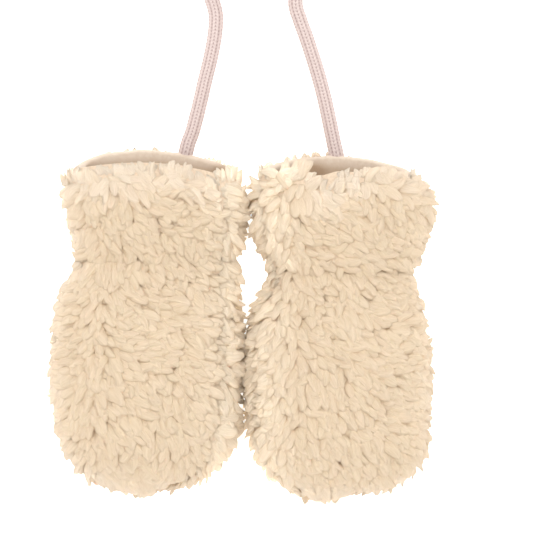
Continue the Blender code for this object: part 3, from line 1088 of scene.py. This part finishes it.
    def outwards(
        self, stand: Stand, lie: Lie, size: Size, dice: np.random.Generator
    ) -> Array:
        """How far each tip stands out from the pile: most on the sides, and towards the other mitten.

        Args:
            stand: Where the locks stand.
            lie: Which way they lean.
            size: How long they are, and which are wisps.
            dice: The panel's random numbers, drawn in a fixed order.

        Returns:
            A distance in millimetres for each lock.
        """
        count = len(stand.root)
        free = 1.0 - stand.near_wrist
        outwards = stand.steep * (dice.uniform(-0.5, 1.6, count) - 1.6 * stand.near_wrist) - 0.3
        wisps_out = dice.uniform(0.1, 0.7, count) * (1.0 - 0.8 * stand.near_wrist)
        outwards = outwards + np.where(size.wisp, wisps_out, 0.0)
        at_gap = soft_step(stand.side_share * self.inner_side, 0.72, 0.95) * (stand.outside[:, 2] > 8.0)
        above = 1.0 + 0.6 * soft_step(stand.outside[:, 2], 13.0, 20.0)
        outwards = outwards + at_gap * free * dice.uniform(0.1, 1.1, count) * above
        facing = np.clip(np.einsum("ij,ij->i", lie.lean[:, :2], unit(stand.normal[:, :2])), 0.0, 1.0)
        facing = facing * soft_step(1.0 - np.abs(stand.normal[:, 2]), 0.08, 0.5) * free
        return outwards + facing * dice.uniform(0.0, 0.42, count) * size.length

    def rolled(
        self, sideways: Array, tangent: Array, dice: np.random.Generator
    ) -> Tuple[Array, Array]:
        """Each ring's wide and flat directions, rolled a little round the middle line.

        Args:
            sideways: The direction to each lock's right.
            tangent: Directions of the middle lines, locks by stations by three.
            dice: The panel's random numbers, drawn in a fixed order.

        Returns:
            The wide and the flat directions, locks by stations by three.
        """
        roll = np.radians(dice.normal(0.0, 12.0, len(sideways)))[:, None, None]
        side = unit(sideways[:, None, :] - tangent * (tangent @ sideways[..., None]))
        upper = np.cross(tangent, side)
        return np.cos(roll) * side + np.sin(roll) * upper, np.cos(roll) * upper - np.sin(roll) * side

    def traits(self, stand: Stand, dice: np.random.Generator) -> Dict[str, Array]:
        """What the finish reads of each lock, from 0 to 1: its tint, how loose it is with the painted edge
        light on the sides, and how much painted light lifts the shade on it.
        """
        # Painted light: lighter where shade falls, low down towards the other mitten, under the fingertip
        # and at the back's rim.
        low_down = 0.5 + 0.5 * soft_step(20.0 - stand.root[:, 2], 0.0, 9.0)
        inner = soft_step(stand.side_share * self.inner_side, 0.42, 0.85) * low_down
        under_tip = 0.4 * soft_step(-stand.normal[:, 1], 0.45, 0.85) * soft_step(
            12.0 - stand.root[:, 2], 0.0, 5.0
        )
        back_rim = 0.3 * soft_step(6.0 - stand.to_rim, 0.0, 3.0) * (not self.front)
        return {
            "lock_tint": dice.uniform(0.0, 1.0, len(stand.root)),
            "lock_loose_and_edge_light": self.looseness_and_edge_light(stand.normal, stand.to_rim),
            "lock_painted_light": np.maximum(np.maximum(inner, under_tip), back_rim),
        }

    def looseness_and_edge_light(self, normal: Array, to_rim: Array) -> Array:
        """How loose and pale the pile is at a cuff's rim, and how much painted edge light the sides get,
        from 0 to 1.
        """
        at_side = (0.65 if self.front else 0.25) * soft_step(1.0 - normal[:, 2], 0.10, 0.45)
        return np.maximum(at_side, 1.0 - soft_step(to_rim, 2.0, 16.0))

    def cubic(
        self, start: Array, second: Array, third: Array, end: Array
    ) -> Tuple[Array, Array]:
        """Points and directions at the lock's stations on cubic curves.

        Args:
            start: The first handle of each curve, where it starts.
            second: The handle that sets its first direction.
            third: The handle that sets its last direction.
            end: The last handle, where it ends.

        Returns:
            Points, and directions of length one, both locks by stations by three.
        """
        t = np.array(self.lock.stations)[None, :, None]
        rest = 1.0 - t
        handles = [h[:, None, :] for h in (start, second, third, end)]
        points = (
            handles[0] * rest**3 + 3.0 * handles[1] * rest**2 * t
            + 3.0 * handles[2] * rest * t**2 + handles[3] * t**3
        )
        slope = (
            (handles[1] - handles[0]) * rest**2 + 2.0 * (handles[2] - handles[1]) * rest * t
            + (handles[3] - handles[2]) * t**2
        )
        return points, unit(slope)

    def rings(
        self, line: Array, across: Array, upward: Array, width: Array,
        ridge: Array, end: Array,
    ) -> Tuple[Array, Array]:
        """Rings of points round each middle line, then the point of the tip.

        Args:
            line: Middle line's points, locks by stations by three.
            across: The wide direction at each.
            upward: The flat direction at each.
            width: Half the width of each lock.
            ridge: How far each lock's sides stand out, as a share of its width; its strands' ridges.
            end: The point of each lock.

        Returns:
            Points, locks by points by three, and for each point of one lock its angle and its share
            of the way along.
        """
        turn = np.linspace(0.0, 2.0 * np.pi, self.lock.sides, endpoint=False) - np.pi / 2.0
        girth = ((width[:, None] * np.array(self.lock.girths))[:, :, None] * ridge)[..., None]
        boxy = np.sign([np.cos(turn), np.sin(turn)]) * np.abs([np.cos(turn), np.sin(turn)]) ** 0.8
        wide = boxy[0][None, None, :, None] * across[:, :, None, :]
        flat = boxy[1][None, None, :, None] * upward[:, :, None, :] * self.lock.flatness
        ring = line[:, :, None, :] + girth * (wide + flat)
        points = np.concatenate([ring.reshape(len(line), -1, 3), end[:, None, :]], axis=1)
        share = np.repeat(self.lock.stations, self.lock.sides)
        mark = np.stack([np.tile(turn, len(self.lock.stations)), share], axis=1)
        return points, np.concatenate([mark, [[0.0, 1.0]]])

    def join(
        self, points: Array, mark: Array, traits: Dict[str, Array], normal: Array,
        pile: Material,
    ) -> Piece:
        """One mesh from all the locks' points, with what their finish reads.

        Args:
            points: Each lock's rings and tip, locks by points by three.
            mark: For each point of one lock, its angle and its share of the way along.
            traits: Named values from 0 to 1, one a lock.
            normal: The form's outward direction under each lock.
            pile: The material.

        Returns:
            The piece.
        """
        count, per_lock = points.shape[:2]
        sides = self.lock.sides
        ring = np.arange(per_lock - 1).reshape(-1, sides)
        ring = np.concatenate([ring, ring[:, :1]], axis=1)
        quads = grid_quads(ring)
        last = ring[-1]
        tips = np.stack([last[:-1], last[1:], np.full(sides, per_lock - 1)], axis=1)
        base = ring[0, :-1][::-1]
        one = np.concatenate([quads.ravel(), tips.ravel(), base])
        sizes = np.concatenate([np.full(len(quads), 4), np.full(sides, 3), [sides]])
        loops = (one[None, :] + per_lock * np.arange(count)[:, None]).ravel()
        mesh = mesh_of(f"{self.name}_pile", points.reshape(-1, 3), loops, np.tile(sizes, count))
        share = np.tile(mark[:, 1], count)
        put(mesh, "lock_along", "FLOAT", share)
        for name, values in traits.items():
            put(mesh, name, "FLOAT", np.repeat(values, per_lock))
        strand = np.stack([
            np.tile(np.cos(mark[:, 0]), count), np.tile(np.sin(mark[:, 0]), count),
            share * 2.0 + np.repeat(traits["lock_tint"], per_lock) * 90.0,
        ], axis=1)
        put(mesh, "lock_strand", "FLOAT_VECTOR", strand)
        ground = normal * soft_step(normal[:, 2], -0.1, 0.3)[:, None]
        put(mesh, "lock_ground", "FLOAT_VECTOR", np.repeat(ground, per_lock, axis=0))
        return add_piece(f"{self.name}_pile", mesh, pile)


def points_of(mesh: bpy.types.Mesh) -> Array:
    """The mesh's points, in millimetres."""
    co = np.zeros(len(mesh.vertices) * 3, dtype=np.float32)
    mesh.vertices.foreach_get("co", co)
    return co.reshape(-1, 3) / MM


def put(mesh: bpy.types.Mesh, name: str, kind: str, values: Array) -> None:
    """Store one value for each of a mesh's points under a name."""
    layer = mesh.attributes.new(name, kind, "POINT")
    key = "vector" if kind == "FLOAT_VECTOR" else "value"
    layer.data.foreach_set(key, values.astype(np.float32).ravel())


# --------------------------------------------------------------------------------------------------
# Lining
# --------------------------------------------------------------------------------------------------


@dataclass
class Lining:
    """Jersey lining of a cuff, with its rolled rim."""

    name: str
    form: CuffForm
    fold: Fold
    bead: float = 2.2
    cover: float = 2.6
    deepest: float = 0.2
    columns: int = 120

    def build(self, jersey: Material) -> Piece:
        """A tube whose profile goes up its outer face, round the roll and down its inner face."""
        angle = np.linspace(0.0, 2.0 * np.pi, self.columns + 1)
        up_out = [(share, SEAM_GAP, 0.0) for share in np.linspace(self.deepest, 1.0, 12)]
        down_in = [(share, SEAM_GAP + LINING_WALL, 0.0) for share in np.linspace(1.0, self.deepest, 22)]
        profile = np.array(up_out + self.roll_profile() + down_in)
        along, inset, lift = [column[:, None] * np.ones_like(angle) for column in profile.T]
        depth = self.form.wall(along) + inset
        bead = self.bead - (self.bead + 0.4) * np.clip(np.sin(angle) + 0.4, 0.0, 1.0)
        points = self.form.points(np.broadcast_to(angle, along.shape), along, depth)
        wave = 0.35 * swell_noise(points, 16.0, 5) * soft_step(along, 0.7, 1.0)
        points[..., 1] += lift * bead + wave
        points[..., 2] += 0.5 * wave
        mesh = self.tube_mesh(points)
        put(mesh, "shade", "FLOAT", self.shade(mesh))
        piece = add_piece(f"{self.name}_cloth", mesh, jersey)
        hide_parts(self.name)
        return piece

    def shade(self, mesh: bpy.types.Mesh) -> Array:
        """How much painted shade darkens the cloth at each point: 0 on the roll, more the deeper it lies in
        the mouth, and most round the fold's corner.
        """
        co = points_of(mesh)
        last = self.form.sections[-1]
        across = (co[:, 0] - (last.left + last.right) / 2.0) / ((last.right - last.left) / 2.0)
        across = np.clip(across, -1.0, 1.0)
        up = -((1.0 - np.abs(across) ** ROUNDNESS) ** (1.0 / ROUNDNESS))
        # Painted shade, more the further the cloth lies below the back's rim.
        inside = soft_step(self.form.edge(co[:, 0], across, up) - co[:, 1], -1.5, 4.0)
        # Painted shadow in the dark corner where the lining folds.
        corner = np.exp(-(((co[:, 0] - self.fold.x) / 4.5) ** 2) - ((co[:, 1] - self.fold.y) / 4.5) ** 2)
        return np.clip(0.75 * inside + 0.7 * corner, 0.0, 1.0)

    def roll_profile(self) -> List[Tuple[float, float, float]]:
        """Rows of the rolled rim: share along, inset from the cloth's inner face, and height of the roll."""
        outer = -self.cover
        inner = SEAM_GAP + LINING_WALL
        middle = (outer + inner) / 2.0
        radius = (inner - outer) / 2.0
        turns = np.linspace(0.0, np.pi, 9)
        under = [(1.0, outer + 0.6, 0.14)]
        over = [(1.0, middle - radius * math.cos(t), 0.35 + 0.65 * math.sin(t)) for t in turns]
        return under + over

    def tube_mesh(self, points: Array) -> bpy.types.Mesh:
        """Closed mesh of a profile's grid, joined round the tube and from its last row to its first."""
        rows, columns = points.shape[:2]
        numbers = np.arange(rows * (columns - 1)).reshape(rows, columns - 1)
        numbers = np.concatenate([numbers, numbers[:, :1]], axis=1)
        numbers = np.concatenate([numbers, numbers[:1]], axis=0)
        quads = grid_quads(numbers)
        flat = points[:, :-1].reshape(-1, 3)
        mesh = merged(mesh_of(self.name, flat, quads.ravel(), np.full(len(quads), 4)))
        co = points_of(mesh)
        middle = np.array([section.left + section.right for section in self.form.sections]).mean() / 2.0
        around = np.arctan2((co[:, 2] - WAIST) * 2.2, co[:, 0] - middle) * 24.0
        put(mesh, "cloth", "FLOAT_VECTOR", np.stack([around, co[:, 1], co[:, 2]], axis=1))
        return mesh


# --------------------------------------------------------------------------------------------------
# Mitten
# --------------------------------------------------------------------------------------------------


@dataclass
class Mitten:
    """One mitten: its form, its seams, and how its pile is combed and creased."""

    side: str
    hand: Sequence[HandSection]
    tip: Tip
    cuff: Sequence[CuffSection]
    rim: Rim
    lips: Sequence[Lip]
    fold: Fold
    wrist: float
    seams: Seams
    hand_lock: float
    cuff_lock: float
    hand_comb: Sequence[Comb]
    cuff_comb: Sequence[Comb]
    creases: Sequence[Crease]
    inner_side: float
    rim_comb: float
    hand_seed: int
    cuff_seed: int

    def __post_init__(self) -> None:
        """Make the hand's and the cuff's forms."""
        self.hand_form = HandForm(self.hand, self.tip)
        self.cuff_form = CuffForm(self.cuff, self.rim, self.wrist, self.lips)

    def panel(self, part: str, face: str, number: int) -> PileCloth:
        """Pile cloth of one panel.

        Args:
            part: "hand" or "cuff".
            face: "front" or "back".
            number: The panel's number in the mitten, which sets its random numbers apart.

        Returns:
            The pile, ready to build.
        """
        form = self.hand_form if part == "hand" else self.cuff_form
        sections = self.hand if part == "hand" else self.cuff
        widest = max(sections, key=lambda section: section.right - section.left)
        front = face == "front"
        first, last = self.seams.right, self.seams.left
        if not front:
            first, last = last, first + 360.0
        lock_size = self.hand_lock if part == "hand" else self.cuff_lock
        return PileCloth(
            name=f"{self.side}_{part}_{face}",
            form=form,
            front=front,
            first_angle=first,
            last_angle=last,
            lift=SEAM_GAP / 2.0 if front else -SEAM_GAP / 2.0,
            comb=self.hand_comb if part == "hand" else self.cuff_comb,
            middle_x=(widest.left + widest.right) / 2.0,
            half_x=(widest.right - widest.left) / 2.0,
            wrist=self.wrist,
            creases=self.creases if front else self.creases[::2],
            seed=(self.hand_seed if part == "hand" else self.cuff_seed) + number,
            flat=self.flat_size(form, first, last),
            tangle=15.0 if part == "hand" else 20.0,
            wrist_fill=2.0 if part == "hand" else 0.8,
            inner_side=self.inner_side,
            rim_comb=self.rim_comb,
            nap=2.1 if part == "hand" else 1.9,
            low_share=0.35 if part == "hand" else 0.45,
            area_per_lock=(3.75 if front else 6.8) * lock_size**2,
            lock=LockShape().scaled(lock_size),
        )

    def flat_size(self, form: SoftForm, first: float, last: float) -> Tuple[float, float]:
        """Width and length of a panel's cut, in metres: its longest runs across and along."""
        angle, along = np.meshgrid(np.radians(np.linspace(first, last, 80)), np.linspace(0.0, 1.0, 80))
        points = form.points(angle, along, np.full_like(angle, 6.0))
        across = np.linalg.norm(np.diff(points, axis=1), axis=-1).sum(axis=1).max()
        length = np.linalg.norm(np.diff(points, axis=0), axis=-1).sum(axis=0).max()
        return round(float(across) * MM, 3), round(float(length) * MM, 3)

    def build(
        self, pile: Material, ground: Material, jersey: Material,
        shift: Array,
    ) -> None:
        """Make the mitten's four pile panels and its lining, and move them as the solids were moved.

        Args:
            pile: Material of the locks.
            ground: Material of the backing.
            jersey: Material of the lining.
            shift: How far the solids were moved, in millimetres.
        """
        pieces = []
        panels = [(part, face) for part in ("hand", "cuff") for face in ("front", "back")]
        for number, (part, face) in enumerate(panels):
            pieces += self.panel(part, face, number).build(pile, ground)
        lining = Lining(f"{self.side}_cuff_lining", self.cuff_form, self.fold)
        pieces.append(lining.build(jersey))
        for piece in pieces:
            piece.data.transform(Matrix.Translation(shift * MM))
            LOG.info("%s: %d faces", piece.name, len(piece.data.polygons))


# --------------------------------------------------------------------------------------------------
# Cord
# --------------------------------------------------------------------------------------------------


@dataclass
class KnittedCord:
    """The cord that joins the mittens: a knitted tube, sewn in at both cuffs and coiled between."""

    left_route: Sequence[Place]
    right_route: Sequence[Place]
    coil_x: float
    coil_y: float
    outer_turn: float = 31.5
    turns_down: float = 2.0
    turns_up: float = 1.5
    low: float = 2.6
    high: float = 7.7
    wales: int = 6
    points_per_wale: int = 6
    row: float = 1.35
    fuzz: float = 0.16
    leg_height: float = 0.30
    crown_height: float = 0.05
    lowest: float = 0.02
    turn_gap: float = 0.1
    rings_per_row: int = 4
    yarn_pitch: float = 1.2

    def coil(self) -> Array:
        """Middle line of the coil: inwards on the surface for two turns, then outwards on top.

        Going clockwise from the left-hand side, the radius falls by a diameter a turn and then grows by
        a diameter a turn, and the height rises by a diameter where the two meet.
        """
        pitch = 2.0 * CORD_RADIUS + self.turn_gap
        turn = np.linspace(0.0, self.turns_down + self.turns_up, 260)[1:-1]
        radius = self.outer_turn - pitch * np.where(
            turn < self.turns_down, turn, 2.0 * self.turns_down - turn
        )
        angle = np.pi - 2.0 * np.pi * turn
        climb = soft_step(turn, self.turns_down - 0.14, self.turns_down + 0.2)
        height = self.low + (self.high - self.low) * climb
        x = self.coil_x + radius * np.cos(angle)
        y = self.coil_y + radius * np.sin(angle)
        return np.stack([x, y, height], axis=1)

    def middle_line(self) -> Array:
        """Evenly spaced points of the whole cord, from the left cuff through the coil to the right."""
        handles = np.concatenate([
            np.array(self.left_route), self.coil(), np.array(self.right_route)[::-1]
        ])
        travelled = length_to(handles)
        table = np.column_stack([travelled, handles])
        fine = flowing(table, np.linspace(0.0, travelled[-1], 6000))[:, 1:]
        length = length_to(fine)
        count = int(length[-1] / self.row) * self.rings_per_row
        even = np.linspace(0.0, length[-1], count)
        return np.stack([np.interp(even, length, fine[:, k]) for k in range(3)], axis=1)

    def stitches(self, travelled: Array, angle: Array) -> Tuple[Array, Array]:
        """How far each place round the cord is from its wale's middle, and each place's row number.

        A wale is a column of nested V shapes: a leg lags along the cord the further it is from the
        middle. From wale to wale the rows climb, by one row in a whole turn, as in a tube that is knitted
        round and round.

        Args:
            travelled: Distance along the cord of each ring.
            angle: Radians round the cord of each point of a ring.

        Returns:
            One number from 0 to 1 for each point of a ring, and a row number for each point of each ring.
        """
        wale = angle / (2.0 * np.pi) * self.wales
        off_middle = np.abs(wale % 1.0 - 0.5) * 2.0
        spiral = np.floor(wale) / self.wales
        return off_middle, travelled[:, None] / self.row + (off_middle + spiral)[None, :]

    def surface(self, line: Array, angle: Array, off_middle: Array, rows: Array) -> Array:
        """Rings of points; the radius bulges over the two legs of a V and sinks between rows and wales.

        Args:
            line: Points of the middle line.
            angle: Radians round the cord of each point of a ring.
            off_middle: How far each point of a ring is from its wale's middle, from 0 to 1.
            rows: Row number of each point of each ring.

        Returns:
            Points, rings by points by three, none below the lowest height.
        """
        tangent = unit(np.gradient(line, axis=0))
        side = unit(np.cross(tangent, np.array([0.0, 0.0, 1.0])))[:, None, :]
        above = np.cross(side, tangent[:, None, :])
        leg = np.sin(np.pi * off_middle)
        crown = 0.5 + 0.5 * np.cos(2.0 * np.pi * rows)
        radius = CORD_RADIUS + self.fuzz + self.leg_height * leg + self.crown_height * crown
        ring = np.cos(angle)[None, :, None] * side + np.sin(angle)[None, :, None] * above
        points = line[:, None, :] + radius[..., None] * ring
        points[..., 2] = np.maximum(points[..., 2], self.lowest)
        return points

    def tube_mesh(self, points: Array, ends: Array) -> bpy.types.Mesh:
        """Mesh of rings of points, closed by a fan at each of the two ends."""
        count, around = points.shape[:2]
        numbers = np.arange(count * around).reshape(count, around)
        numbers = np.concatenate([numbers, numbers[:, :1]], axis=1)
        quads = grid_quads(numbers)
        start = np.full(around, count * around)
        first = np.stack([numbers[0, :-1], numbers[0, 1:], start], axis=1)[:, ::-1]
        final = np.stack([numbers[-1, :-1], numbers[-1, 1:], start + 1], axis=1)
        loops = np.concatenate([quads.ravel(), first.ravel(), final.ravel()])
        sizes = np.concatenate([np.full(len(quads), 4), np.full(2 * around, 3)])
        return mesh_of("mitten_cord", np.concatenate([points.reshape(-1, 3), ends]), loops, sizes)

    def build(self, yarn: Material, shift: Array) -> Piece:
        line = self.middle_line() + shift
        around = self.points_per_wale * self.wales
        angle = np.linspace(0.0, 2.0 * np.pi, around, endpoint=False)
        steps = np.linalg.norm(np.diff(line, axis=0), axis=1)
        travelled = np.arange(len(line)) * steps.mean()
        off_middle, rows = self.stitches(travelled, angle)
        points = self.surface(line, angle, off_middle, rows)
        mesh = self.tube_mesh(points, np.stack([line[0], line[-1]]))
        at_ends = np.zeros((2, 3))
        knit = np.stack(np.broadcast_arrays(off_middle[None, :], rows, 0.0), axis=-1).reshape(-1, 3)
        put(mesh, "knit", "FLOAT_VECTOR", np.concatenate([knit, at_ends]))
        yarn_map = np.stack(np.broadcast_arrays(
            3.0 * np.cos(angle)[None, :], 3.0 * np.sin(angle)[None, :], travelled[:, None] * self.yarn_pitch
        ), axis=-1).reshape(-1, 3)
        put(mesh, "yarn", "FLOAT_VECTOR", np.concatenate([yarn_map, at_ends]))
        piece = add_piece("mitten_cord", mesh, yarn)
        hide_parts("cord_left_run", "cord_right_run", "cord_coil")
        return piece


# --------------------------------------------------------------------------------------------------
# Studio
# --------------------------------------------------------------------------------------------------


@dataclass
class Studio:
    """Pale table, soft lights and the camera straight above."""

    view_width: float = 207.9
    look_x: float = 10.47
    look_y: float = 20.6
    distance: float = 1400.0
    sensor: float = 36.0

    def camera(self, shift: Array) -> Piece:
        """Camera that looks straight down, framed on the height of the mittens' outline."""
        data = bpy.data.cameras.new("camera")
        data.sensor_width = self.sensor
        data.lens = self.sensor * self.distance / self.view_width
        data.clip_start = 0.05
        data.clip_end = 20.0
        camera = bpy.data.objects.new("camera", data)
        camera.location = (
            (self.look_x + shift[0]) * MM, (self.look_y + shift[1]) * MM, (WAIST + self.distance) * MM
        )
        bpy.context.scene.collection.objects.link(camera)
        bpy.context.scene.camera = camera
        return camera

    def table(self) -> Piece:
        """A wide plain floor."""
        half = 4000.0
        corners = np.array([[-half, -half, 0.0], [half, -half, 0.0], [half, half, 0.0], [-half, half, 0.0]])
        mesh = mesh_of("table", corners, np.arange(4), np.array([4]))
        mesh.materials.append(TableFinish().material())
        floor = bpy.data.objects.new("table", mesh)
        bpy.context.scene.collection.objects.link(floor)
        return floor

    def light(self, name: str, place: Place, size: float, power: float) -> None:
        """A square soft light that faces the mittens."""
        data = bpy.data.lights.new(name, "AREA")
        data.shape = "SQUARE"
        data.size = size
        data.energy = power
        lamp = bpy.data.objects.new(name, data)
        lamp.location = place
        lamp.rotation_mode = "QUATERNION"
        lamp.rotation_quaternion = Vector(place).to_track_quat("Z", "Y")
        bpy.context.scene.collection.objects.link(lamp)

    def build(self) -> None:
        """Floor, lights and the even light of the room."""
        self.table()
        self.light("key", (-0.3, 0.6, 1.25), 0.8, 6.2)
        self.light("fill", (0.5, -0.4, 1.4), 1.4, 4.6)
        world = bpy.data.worlds.new("room")
        world.use_nodes = True
        background = world.node_tree.nodes["Background"]
        background.inputs["Color"].default_value = (1.0, 1.0, 1.0, 1.0)
        background.inputs["Strength"].default_value = 1.0
        bpy.context.scene.world = world
        bpy.context.scene.view_settings.view_transform = "Standard"


# --------------------------------------------------------------------------------------------------
# The pair
# --------------------------------------------------------------------------------------------------

LEFT = Mitten(
    side="left",
    hand=(
        HandSection(-34.0, -71.8, -1.4, 33.5),
        HandSection(-25.0, -72.8, -0.4, 34.0),
        HandSection(-8.0, -73.0, -0.2, 33.5),
        HandSection(6.0, -71.2, -1.0, 31.5),
        HandSection(17.0, -66.6, -2.2, 28.0),
        HandSection(26.0, -62.0, -3.0, 25.0),
    ),
    tip=Tip(-39.0, -65.3, 2.12, 0.0),
    cuff=(
        CuffSection(0.0, -63.8, -1.4, 28.0, 8.0),
        CuffSection(0.25, -65.6, 0.8, 30.0, 8.0),
        CuffSection(0.55, -68.0, 1.4, 31.0, 8.0),
        CuffSection(0.80, -69.2, 1.2, 29.5, 7.0),
        CuffSection(1.0, -66.8, -0.6, 26.5, 5.0),
    ),
    rim=Rim(58.5, 4.65, -1.5, 1.65),
    lips=(
        Lip(-67.0, 1.2), Lip(-59.0, 0.4), Lip(-50.0, 0.3), Lip(-42.0, 0.6), Lip(-36.0, 0.9),
        Lip(-30.0, 0.5), Lip(-27.5, 1.8), Lip(-25.5, 0.8), Lip(-22.4, 2.0), Lip(-20.2, -0.8),
        Lip(-14.0, -0.9), Lip(-8.0, -1.2), Lip(-3.0, 0.2), Lip(1.0, 1.5),
    ),
    fold=Fold(-7.0, 59.2),
    wrist=26.0,
    seams=Seams(45.0, 205.0),
    hand_lock=1.0,
    cuff_lock=0.86,
    hand_comb=(
        Comb(-66.0, 225.0, 270.0, 310.0),
        Comb(-45.0, 215.0, 285.0, 320.0),
        Comb(-20.0, 200.0, 330.0, 335.0),
        Comb(5.0, 195.0, 345.0, 340.0),
        Comb(27.0, 210.0, 300.0, 320.0),
    ),
    cuff_comb=(
        Comb(25.0, 215.0, 285.0, 320.0),
        Comb(38.0, 200.0, 315.0, 345.0),
        Comb(50.0, 200.0, 325.0, 355.0),
        Comb(64.0, 190.0, 335.0, 365.0),
    ),
    creases=(
        Crease(-4.5, 26.4, -5.0, 6.5, 1.9, 3.0),
        Crease(-50.0, 25.0, 8.0, 9.0, 2.2, 0.6),
        Crease(-40.0, 12.0, 100.0, 9.0, 2.6, 1.2),
        Crease(-24.0, -4.0, 84.0, 12.0, 3.0, 1.1),
        Crease(-54.0, 44.0, 30.0, 8.0, 2.4, 1.2),
        Crease(-22.0, 48.0, -12.0, 9.0, 2.6, 1.3),
        Crease(-50.0, -34.0, 60.0, 11.0, 3.0, 1.0),
        Crease(-9.4, -8.0, 90.0, 30.0, 1.3, 1.5),
        Crease(-8.2, 42.0, 90.0, 9.0, 1.3, 1.2),
    ),
    inner_side=1.0,
    rim_comb=112.0,
    hand_seed=110,
    cuff_seed=100,
)

RIGHT = Mitten(
    side="right",
    hand=(
        HandSection(-38.0, 1.8, 71.8, 33.5),
        HandSection(-25.0, 0.8, 72.4, 34.0),
        HandSection(-8.0, 1.6, 71.6, 33.5),
        HandSection(4.0, 4.0, 69.6, 31.5),
        HandSection(14.0, 8.2, 66.4, 28.0),
        HandSection(21.5, 11.6, 63.6, 25.0),
    ),
    tip=Tip(32.0, -66.8, 2.3, 2.4),
    cuff=(
        CuffSection(0.0, 9.4, 66.8, 28.0, 8.0),
        CuffSection(0.25, 6.2, 70.4, 30.0, 8.0),
        CuffSection(0.55, 3.4, 72.6, 31.0, 8.0),
        CuffSection(0.80, 3.2, 73.0, 29.5, 7.0),
        CuffSection(1.0, 5.4, 68.4, 26.5, 5.0),
    ),
    rim=Rim(57.0, 3.4, -0.9, 2.1),
    lips=(
        Lip(1.8, 2.2), Lip(9.0, 5.2), Lip(15.0, 7.0), Lip(20.6, 7.4), Lip(22.4, 5.0), Lip(23.8, 2.2),
        Lip(25.2, -0.4), Lip(26.8, -2.0), Lip(30.0, -2.3), Lip(34.0, -1.1), Lip(40.0, 1.4), Lip(45.0, 3.6),
        Lip(49.0, 5.2), Lip(55.0, 5.4), Lip(62.0, 3.6), Lip(68.0, 1.8),
    ),
    fold=Fold(26.4, 58.6),
    wrist=21.5,
    seams=Seams(22.0, 148.0),
    hand_lock=0.98,
    cuff_lock=0.99,
    hand_comb=(
        Comb(-68.0, 235.0, 275.0, 315.0),
        Comb(-45.0, 225.0, 300.0, 325.0),
        Comb(-20.0, 215.0, 315.0, 335.0),
        Comb(5.0, 215.0, 325.0, 345.0),
        Comb(22.0, 220.0, 300.0, 330.0),
    ),
    cuff_comb=(
        Comb(21.0, 225.0, 315.0, 340.0),
        Comb(30.0, 210.0, 345.0, 355.0),
        Comb(38.0, 215.0, 320.0, 345.0),
        Comb(50.0, 215.0, 300.0, 335.0),
        Comb(61.0, 205.0, 310.0, 345.0),
    ),
    creases=(
        Crease(56.0, 21.5, 4.0, 12.0, 2.4, 0.8),
        Crease(24.0, 21.0, -8.0, 10.0, 2.4, 0.8),
        Crease(30.0, 8.0, 78.0, 9.0, 2.6, 1.2),
        Crease(48.0, -2.0, 110.0, 12.0, 3.0, 1.1),
        Crease(20.0, 44.0, 118.0, 8.0, 2.4, 1.2),
        Crease(52.0, 40.0, -20.0, 10.0, 2.6, 1.2),
        Crease(46.0, -36.0, 40.0, 12.0, 3.0, 1.0),
        Crease(36.0, 32.0, 4.0, 16.0, 1.3, 1.3),
        Crease(27.0, 27.0, 3.0, 13.0, 1.2, 1.2),
    ),
    inner_side=-1.0,
    rim_comb=66.0,
    hand_seed=200,
    cuff_seed=200,
)

CORD = KnittedCord(
    left_route=(
        (-23.0, 63.0, 2.7), (-22.1, 66.4, 3.4), (-21.3, 69.6, 3.2), (-19.8, 73.6, 2.8), (-18.0, 80.2, 2.6),
        (-16.2, 87.6, 2.6), (-14.6, 94.6, 2.6), (-12.9, 101.4, 2.6), (-11.5, 108.2, 2.6),
        (-10.6, 115.0, 2.6), (-10.6, 120.0, 2.6), (-12.0, 125.2, 2.6), (-15.0, 131.2, 2.6),
        (-19.2, 138.0, 2.6), (-24.2, 145.8, 2.6), (-28.2, 154.2, 2.6), (-30.4, 161.6, 2.6),
        (-31.0, 168.0, 2.6),
    ),
    right_route=(
        (36.7, 62.2, 2.7), (36.2, 65.4, 3.4), (35.4, 69.0, 3.2), (34.4, 73.8, 2.8), (33.0, 80.6, 2.6),
        (31.5, 87.4, 2.6), (29.9, 93.6, 2.6), (28.1, 99.8, 2.6), (26.2, 105.8, 2.6),
        (24.4, 111.2, 2.6), (22.0, 117.8, 2.6), (20.4, 123.2, 2.6), (20.8, 128.2, 2.6),
        (22.9, 132.9, 2.7), (25.4, 138.6, 3.2), (27.4, 145.0, 4.4), (28.7, 152.0, 6.2),
        (29.3, 160.0, 7.6), (29.5, 168.0, 7.7),
    ),
    coil_x=0.5,
    coil_y=168.0,
)


def solids_shift() -> Array:
    """How far the solids were moved from the tables' places, in millimetres."""
    low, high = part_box("cord_coil")
    return np.array([
        (low.x + high.x) / 2.0 / MM - CORD.coil_x, (low.y + high.y) / 2.0 / MM - CORD.coil_y, 0.0
    ])


def corners(box: Tuple[Sequence[float], Sequence[float]]) -> List[List[float]]:
    """A box's two corners as plain lists of numbers."""
    return [[float(value) for value in corner] for corner in box]


def main() -> None:
    """Build the pair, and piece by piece."""
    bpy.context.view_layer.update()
    shift = solids_shift()
    studio = Studio()
    studio.camera(shift)
    CORD.build(KnitFinish().material(), shift)
    pile = PileFinish().material()
    ground = BackingFinish().material()
    jersey = JerseyFinish().material()
    for mitten in (LEFT, RIGHT):
        mitten.build(pile, ground, jersey, shift)
    studio.build()


if __name__ == "__main__":
    logging.basicConfig(level=logging.INFO, format="%(name)s %(message)s")
    main()
